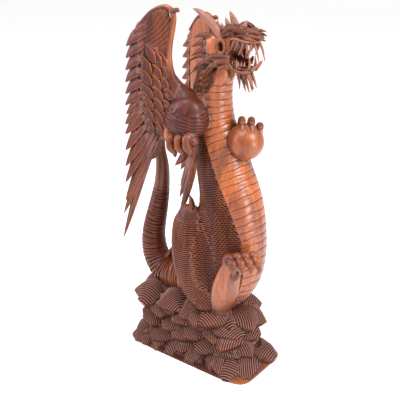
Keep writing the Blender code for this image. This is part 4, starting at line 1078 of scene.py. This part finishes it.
def rock(name, place, outward_way, half_width, seed, steep=ROCK_TILT):
    """A boulder with gouge strokes over its top, on a grid whose columns run along the strokes."""
    chance = np.random.default_rng(seed)
    strokes = round(2 * half_width * ROCK_WIDENING / GOUGE_PITCH)
    power = chance.uniform(1.18, 1.45)
    u = np.linspace(-0.96, 0.96, 4 * strokes + 1)[:, None]
    limit = (1 - np.abs(u) ** power) ** (1 / power)
    v = np.linspace(-1, 1, 8)[None] * limit
    radius = (np.abs(u) ** power + np.abs(v) ** power) ** (1 / power)
    crown = np.array(chance.uniform(-0.25, 0.25, 2))
    rise = 0.04 + 0.80 * np.clip(1 - radius ** 1.6, 0, 1) ** 0.85 * (1 + crown[0] * u + crown[1] * v)
    valley = np.tile([0, 0.75, 1, 0.75], strokes + 1)[:4 * strokes + 1, None] + 0 * v
    swing = chance.uniform(-0.55, 0.55) + (math.pi / 2 if chance.uniform() < 0.25 else 0)
    px = v * math.cos(swing) - u * math.sin(swing)
    py = u * math.cos(swing) + v * math.sin(swing)
    upper = np.stack([
        px * ROCK_REACH, py * half_width * ROCK_WIDENING, rise * ROCK_THICKNESS / 2 - valley * GOUGE_DEPTH
    ], axis=2)
    wide, deep = upper.shape[:2]
    upper = upper.reshape(-1, 3)
    rim = [i * deep for i in range(wide)] + [(wide - 1) * deep + j for j in range(1, deep)]
    rim += [i * deep + deep - 1 for i in range(wide - 2, -1, -1)] + list(range(deep - 2, 0, -1))
    low = upper[rim] * (0.86, 0.88, 0) + (0, 0, -0.58 * ROCK_THICKNESS / 2)
    foot = (-0.45 * ROCK_REACH, 0, -0.95 * ROCK_THICKNESS / 2)
    vertices = np.vstack([upper, low, [foot]])
    faces = [
        (i * deep + j, (i + 1) * deep + j, (i + 1) * deep + j + 1, i * deep + j + 1)
        for i in range(wide - 1) for j in range(deep - 1)
    ]
    base, last = len(upper), len(upper) + len(low)
    for k in range(len(rim)):
        after = (k + 1) % len(rim)
        faces += [(rim[after], rim[k], base + k, base + after), (base + after, base + k, last)]
    face_way = math.atan2(outward_way[1], outward_way[0]) + chance.uniform(-0.3, 0.3)
    tip = steep + chance.uniform(-0.12, 0.12)
    tilt = np.array([(math.cos(tip), 0, math.sin(tip)), (0, 1, 0), (-math.sin(tip), 0, math.cos(tip))])
    ahead, aside = math.cos(face_way), math.sin(face_way)
    spin = np.array([(ahead, -aside, 0), (aside, ahead, 0), (0, 0, 1)])
    vertices = vertices @ tilt.T @ spin.T + np.array(place)
    tones = np.zeros((len(vertices), 4))
    tones[:, 3] = 1
    # Painted shade in the gouge valleys, a painted highlight in cream on the crests, and painted shade on
    # the undercut sides and underside
    tones[:base, 1] = valley.ravel() * 0.72
    tones[:base, 2] = (1 - valley.ravel()) * 0.62
    tones[base:, 1] = 0.62
    tones[base:, 0] = 0.12
    add_form(name, vertices, faces, tones)


def rock_places():
    """Each rock's place, outward direction and half width, round the four faces and corners."""
    buried = ROCK_REACH * ROCK_BURIED

    def half(height):
        shrink = 1 - PLINTH_WAIST * math.sin(math.pi * height)
        return PLINTH_LENGTH / 2 * shrink, PLINTH_WIDTH / 2 * shrink, PLINTH_LEAN * height

    for side in (-1, 1):
        for along, height, half_width in SIDE_ROCKS:
            length, width, shift = half(height)
            x = shift - side * along * 2 * (length - buried)
            yield (x, side * (width - buried), PLINTH_HEIGHT * height), (0, side), half_width
        for along, height, half_width in END_ROCKS:
            length, width, shift = half(height)
            y = side * -along * 2 * (width - buried)
            yield (shift - side * (length - buried), y, PLINTH_HEIGHT * height), (-side, 0), half_width
        for end in (-1, 1):
            for height, half_width in CORNER_ROCKS:
                length, width, shift = half(height)
                inner = buried + (1 - math.sqrt(0.5)) * ROCK_REACH
                place = (shift + end * (length - inner), side * (width - inner), PLINTH_HEIGHT * height)
                yield place, (end, side), half_width


def plinth_block():
    """The core of the rocks, with a rounded skirt whose gouge strokes run down to the sawn underside."""
    half = np.array((PLINTH_LENGTH, PLINTH_WIDTH)) / 2
    turn = np.linspace(0, 2 * math.pi, 4001)
    way = np.stack([np.cos(turn), np.sin(turn)], axis=1)
    reach = (np.abs(way / half) ** 7).sum(axis=1) ** (-1 / 7)
    around = run_along(way * reach[:, None])
    strokes = round(around[-1] / GOUGE_PITCH)
    turn = np.interp(np.arange(4 * strokes) / (4 * strokes) * around[-1], around, turn)
    way = np.stack([np.cos(turn), np.sin(turn)], axis=1)
    reach = (np.abs(way / half) ** 7).sum(axis=1) ** (-1 / 7)
    valley = np.tile([0, 0.75, 1, 0.75], strokes)
    levels = (
        (0, 0.990, 0), (0.004, 0.998, 0.8), (0.009, 0.985, 1.2), (0.014, 0.950, 1.3), (0.020, 0.89, 1.3),
        (0.027, 0.82, 1.3), (0.036, 0.76, 1), (0.050, 0.72, 0), (PLINTH_HEIGHT * 0.88, BLOCK_SHARE, 0),
        (PLINTH_HEIGHT * 0.95, BLOCK_SHARE * 0.9, 0),
    )
    rows, shaded_cuts, warmth = [], [], []
    for level, share, gouged in levels:
        swing = np.sin(turn * 5 + level * 40) + np.sin(turn * 9 + 1.3 + level * 25)
        line = way * (reach * share * (1 - 0.010 * (swing + 2) * (level > 0.006)))[:, None]
        line = line - way * (valley * GOUGE_DEPTH * gouged)[:, None]
        shift = (PLINTH_LEAN * level / PLINTH_HEIGHT, 0)
        rows.append(np.column_stack([line + shift, np.full(len(turn), level)]))
        # Painted shade in the gouge valleys of the skirt, and a little over the whole block
        shaded_cuts.append(valley * gouged * 0.6)
        warmth.append(np.clip((line[:, 0] - BARE_FACE_START) / 0.03, 0, 1) * 0.8)
    shell("plinth_block", np.array(rows), honey_and_highlight=np.array(warmth), painted_shade=np.array(shaded_cuts) + 0.10)


plinth_block()
for number, (spot, way, half_width) in enumerate(rock_places()):
    rock(f"rock_{number}", spot, way, half_width, ROCK_SEED + number)
for number, (x, y, across) in enumerate(SKIRT_ROCKS):
    for side in (-1, 1):
        outward_way = (0, side) if across else (math.copysign(1, x), 0)
        rock(f"skirt_rock_{number}_{side}", (x, y * side, SKIRT_ROCK_HEIGHT), outward_way,
             LOW_ROCK_HALF_WIDTH, 200 + 2 * number + (side > 0), LOW_ROCK_TILT)
for number, (x, y) in enumerate(TOP_ROCKS):
    rock(f"top_rock_{number}", (x, y, PLINTH_HEIGHT * 0.86), (x, y * 2), TOP_ROCK_HALF_WIDTH, 400 + number,
         TOP_ROCK_TILT)


# The whole carving
# All the forms become one skin, as they are one piece of wood: sawn flat at the floor, thinned
# to a fair number of triangles, and sanded where broad limbs meet.
TRIANGLE_LIMIT = 196000
HIP_CREASE, HIP_RUBS = 0.021, 22
SHOULDER_CREASE, SHOULDER_RUBS = 0.018, 24
SHARP_EDGE = math.radians(38)


def join_shells():
    forms = list(shells.objects)
    carving = forms[0]
    shells.objects.unlink(carving)
    bpy.context.scene.collection.objects.link(carving)
    carving.name = "dragon_carving"
    join = carving.modifiers.new("join", "BOOLEAN")
    join.operation = "UNION"
    join.operand_type = "COLLECTION"
    join.collection = shells
    join.solver = "MANIFOLD"
    bpy.context.view_layer.objects.active = carving
    carving.select_set(True)
    bpy.ops.object.modifier_apply(modifier="join")
    for form in forms[1:]:
        bpy.data.objects.remove(form)
    bpy.data.collections.remove(shells)
    return carving


def saw_flat(carving):
    """Takes off what hangs below the floor."""
    bpy.ops.mesh.primitive_cube_add(size=1, location=(0, 0, -0.5), scale=(2, 2, 1))
    cutter = bpy.context.object
    cut = carving.modifiers.new("cut", "BOOLEAN")
    cut.operation = "DIFFERENCE"
    cut.object = cutter
    cut.solver = "MANIFOLD"
    bpy.ops.object.select_all(action="DESELECT")
    bpy.context.view_layer.objects.active = carving
    carving.select_set(True)
    bpy.ops.object.modifier_apply(modifier="cut")
    bpy.data.objects.remove(cutter)


def soften(carving, limbs, reach, turns_over):
    """Rounds the creases where broad limbs meet, as sanding does, and leaves the rest sharp."""
    vertices = np.array([vertex.co[:] for vertex in carving.data.vertices])
    near = np.zeros(len(vertices))
    for part in np.array_split(np.arange(len(vertices)), 20):
        gaps = np.sort([np.abs(distance_to(vertices[part], rows)[0]) for rows in limbs], axis=0)
        near[part] = np.clip((reach - gaps[1]) / (reach * 0.4), 0, 1)
    group = carving.vertex_groups.new(name="creases")
    for weight in (0.25, 0.5, 0.75, 1.0):
        chosen = np.nonzero((near > weight - 0.25) & (near <= weight))[0]
        group.add(chosen.tolist(), weight, "REPLACE")
    rub = carving.modifiers.new("rub", "SMOOTH")
    rub.vertex_group = group.name
    rub.factor = 0.5
    rub.iterations = turns_over
    bpy.ops.object.modifier_apply(modifier="rub")
    carving.vertex_groups.clear()


carving = join_shells()
saw_flat(carving)
count = sum(len(face.vertices) - 2 for face in carving.data.polygons)
if count > TRIANGLE_LIMIT:
    thin = carving.modifiers.new("thin", "DECIMATE")
    thin.ratio = TRIANGLE_LIMIT / count
    bpy.ops.object.modifier_apply(modifier="thin")
broad = [trunk, *(sided(line, side, 4) for side in (-1, 1) for line in (HAUNCH_LINE, HIP_LINE))]
soften(carving, broad, HIP_CREASE, HIP_RUBS)
shoulders = [trunk, *(smooth(arm_stops(side), 3) for side in (-1, 1))]
soften(carving, shoulders, SHOULDER_CREASE, SHOULDER_RUBS)
bpy.ops.object.shade_smooth_by_angle(angle=SHARP_EDGE)
carving.data.materials.clear()
carving.data.materials.append(suar_wood())
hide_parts("rock_plinth", "torso", "tail", "head", "right_wing", "left_wing")
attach(carving, "root")
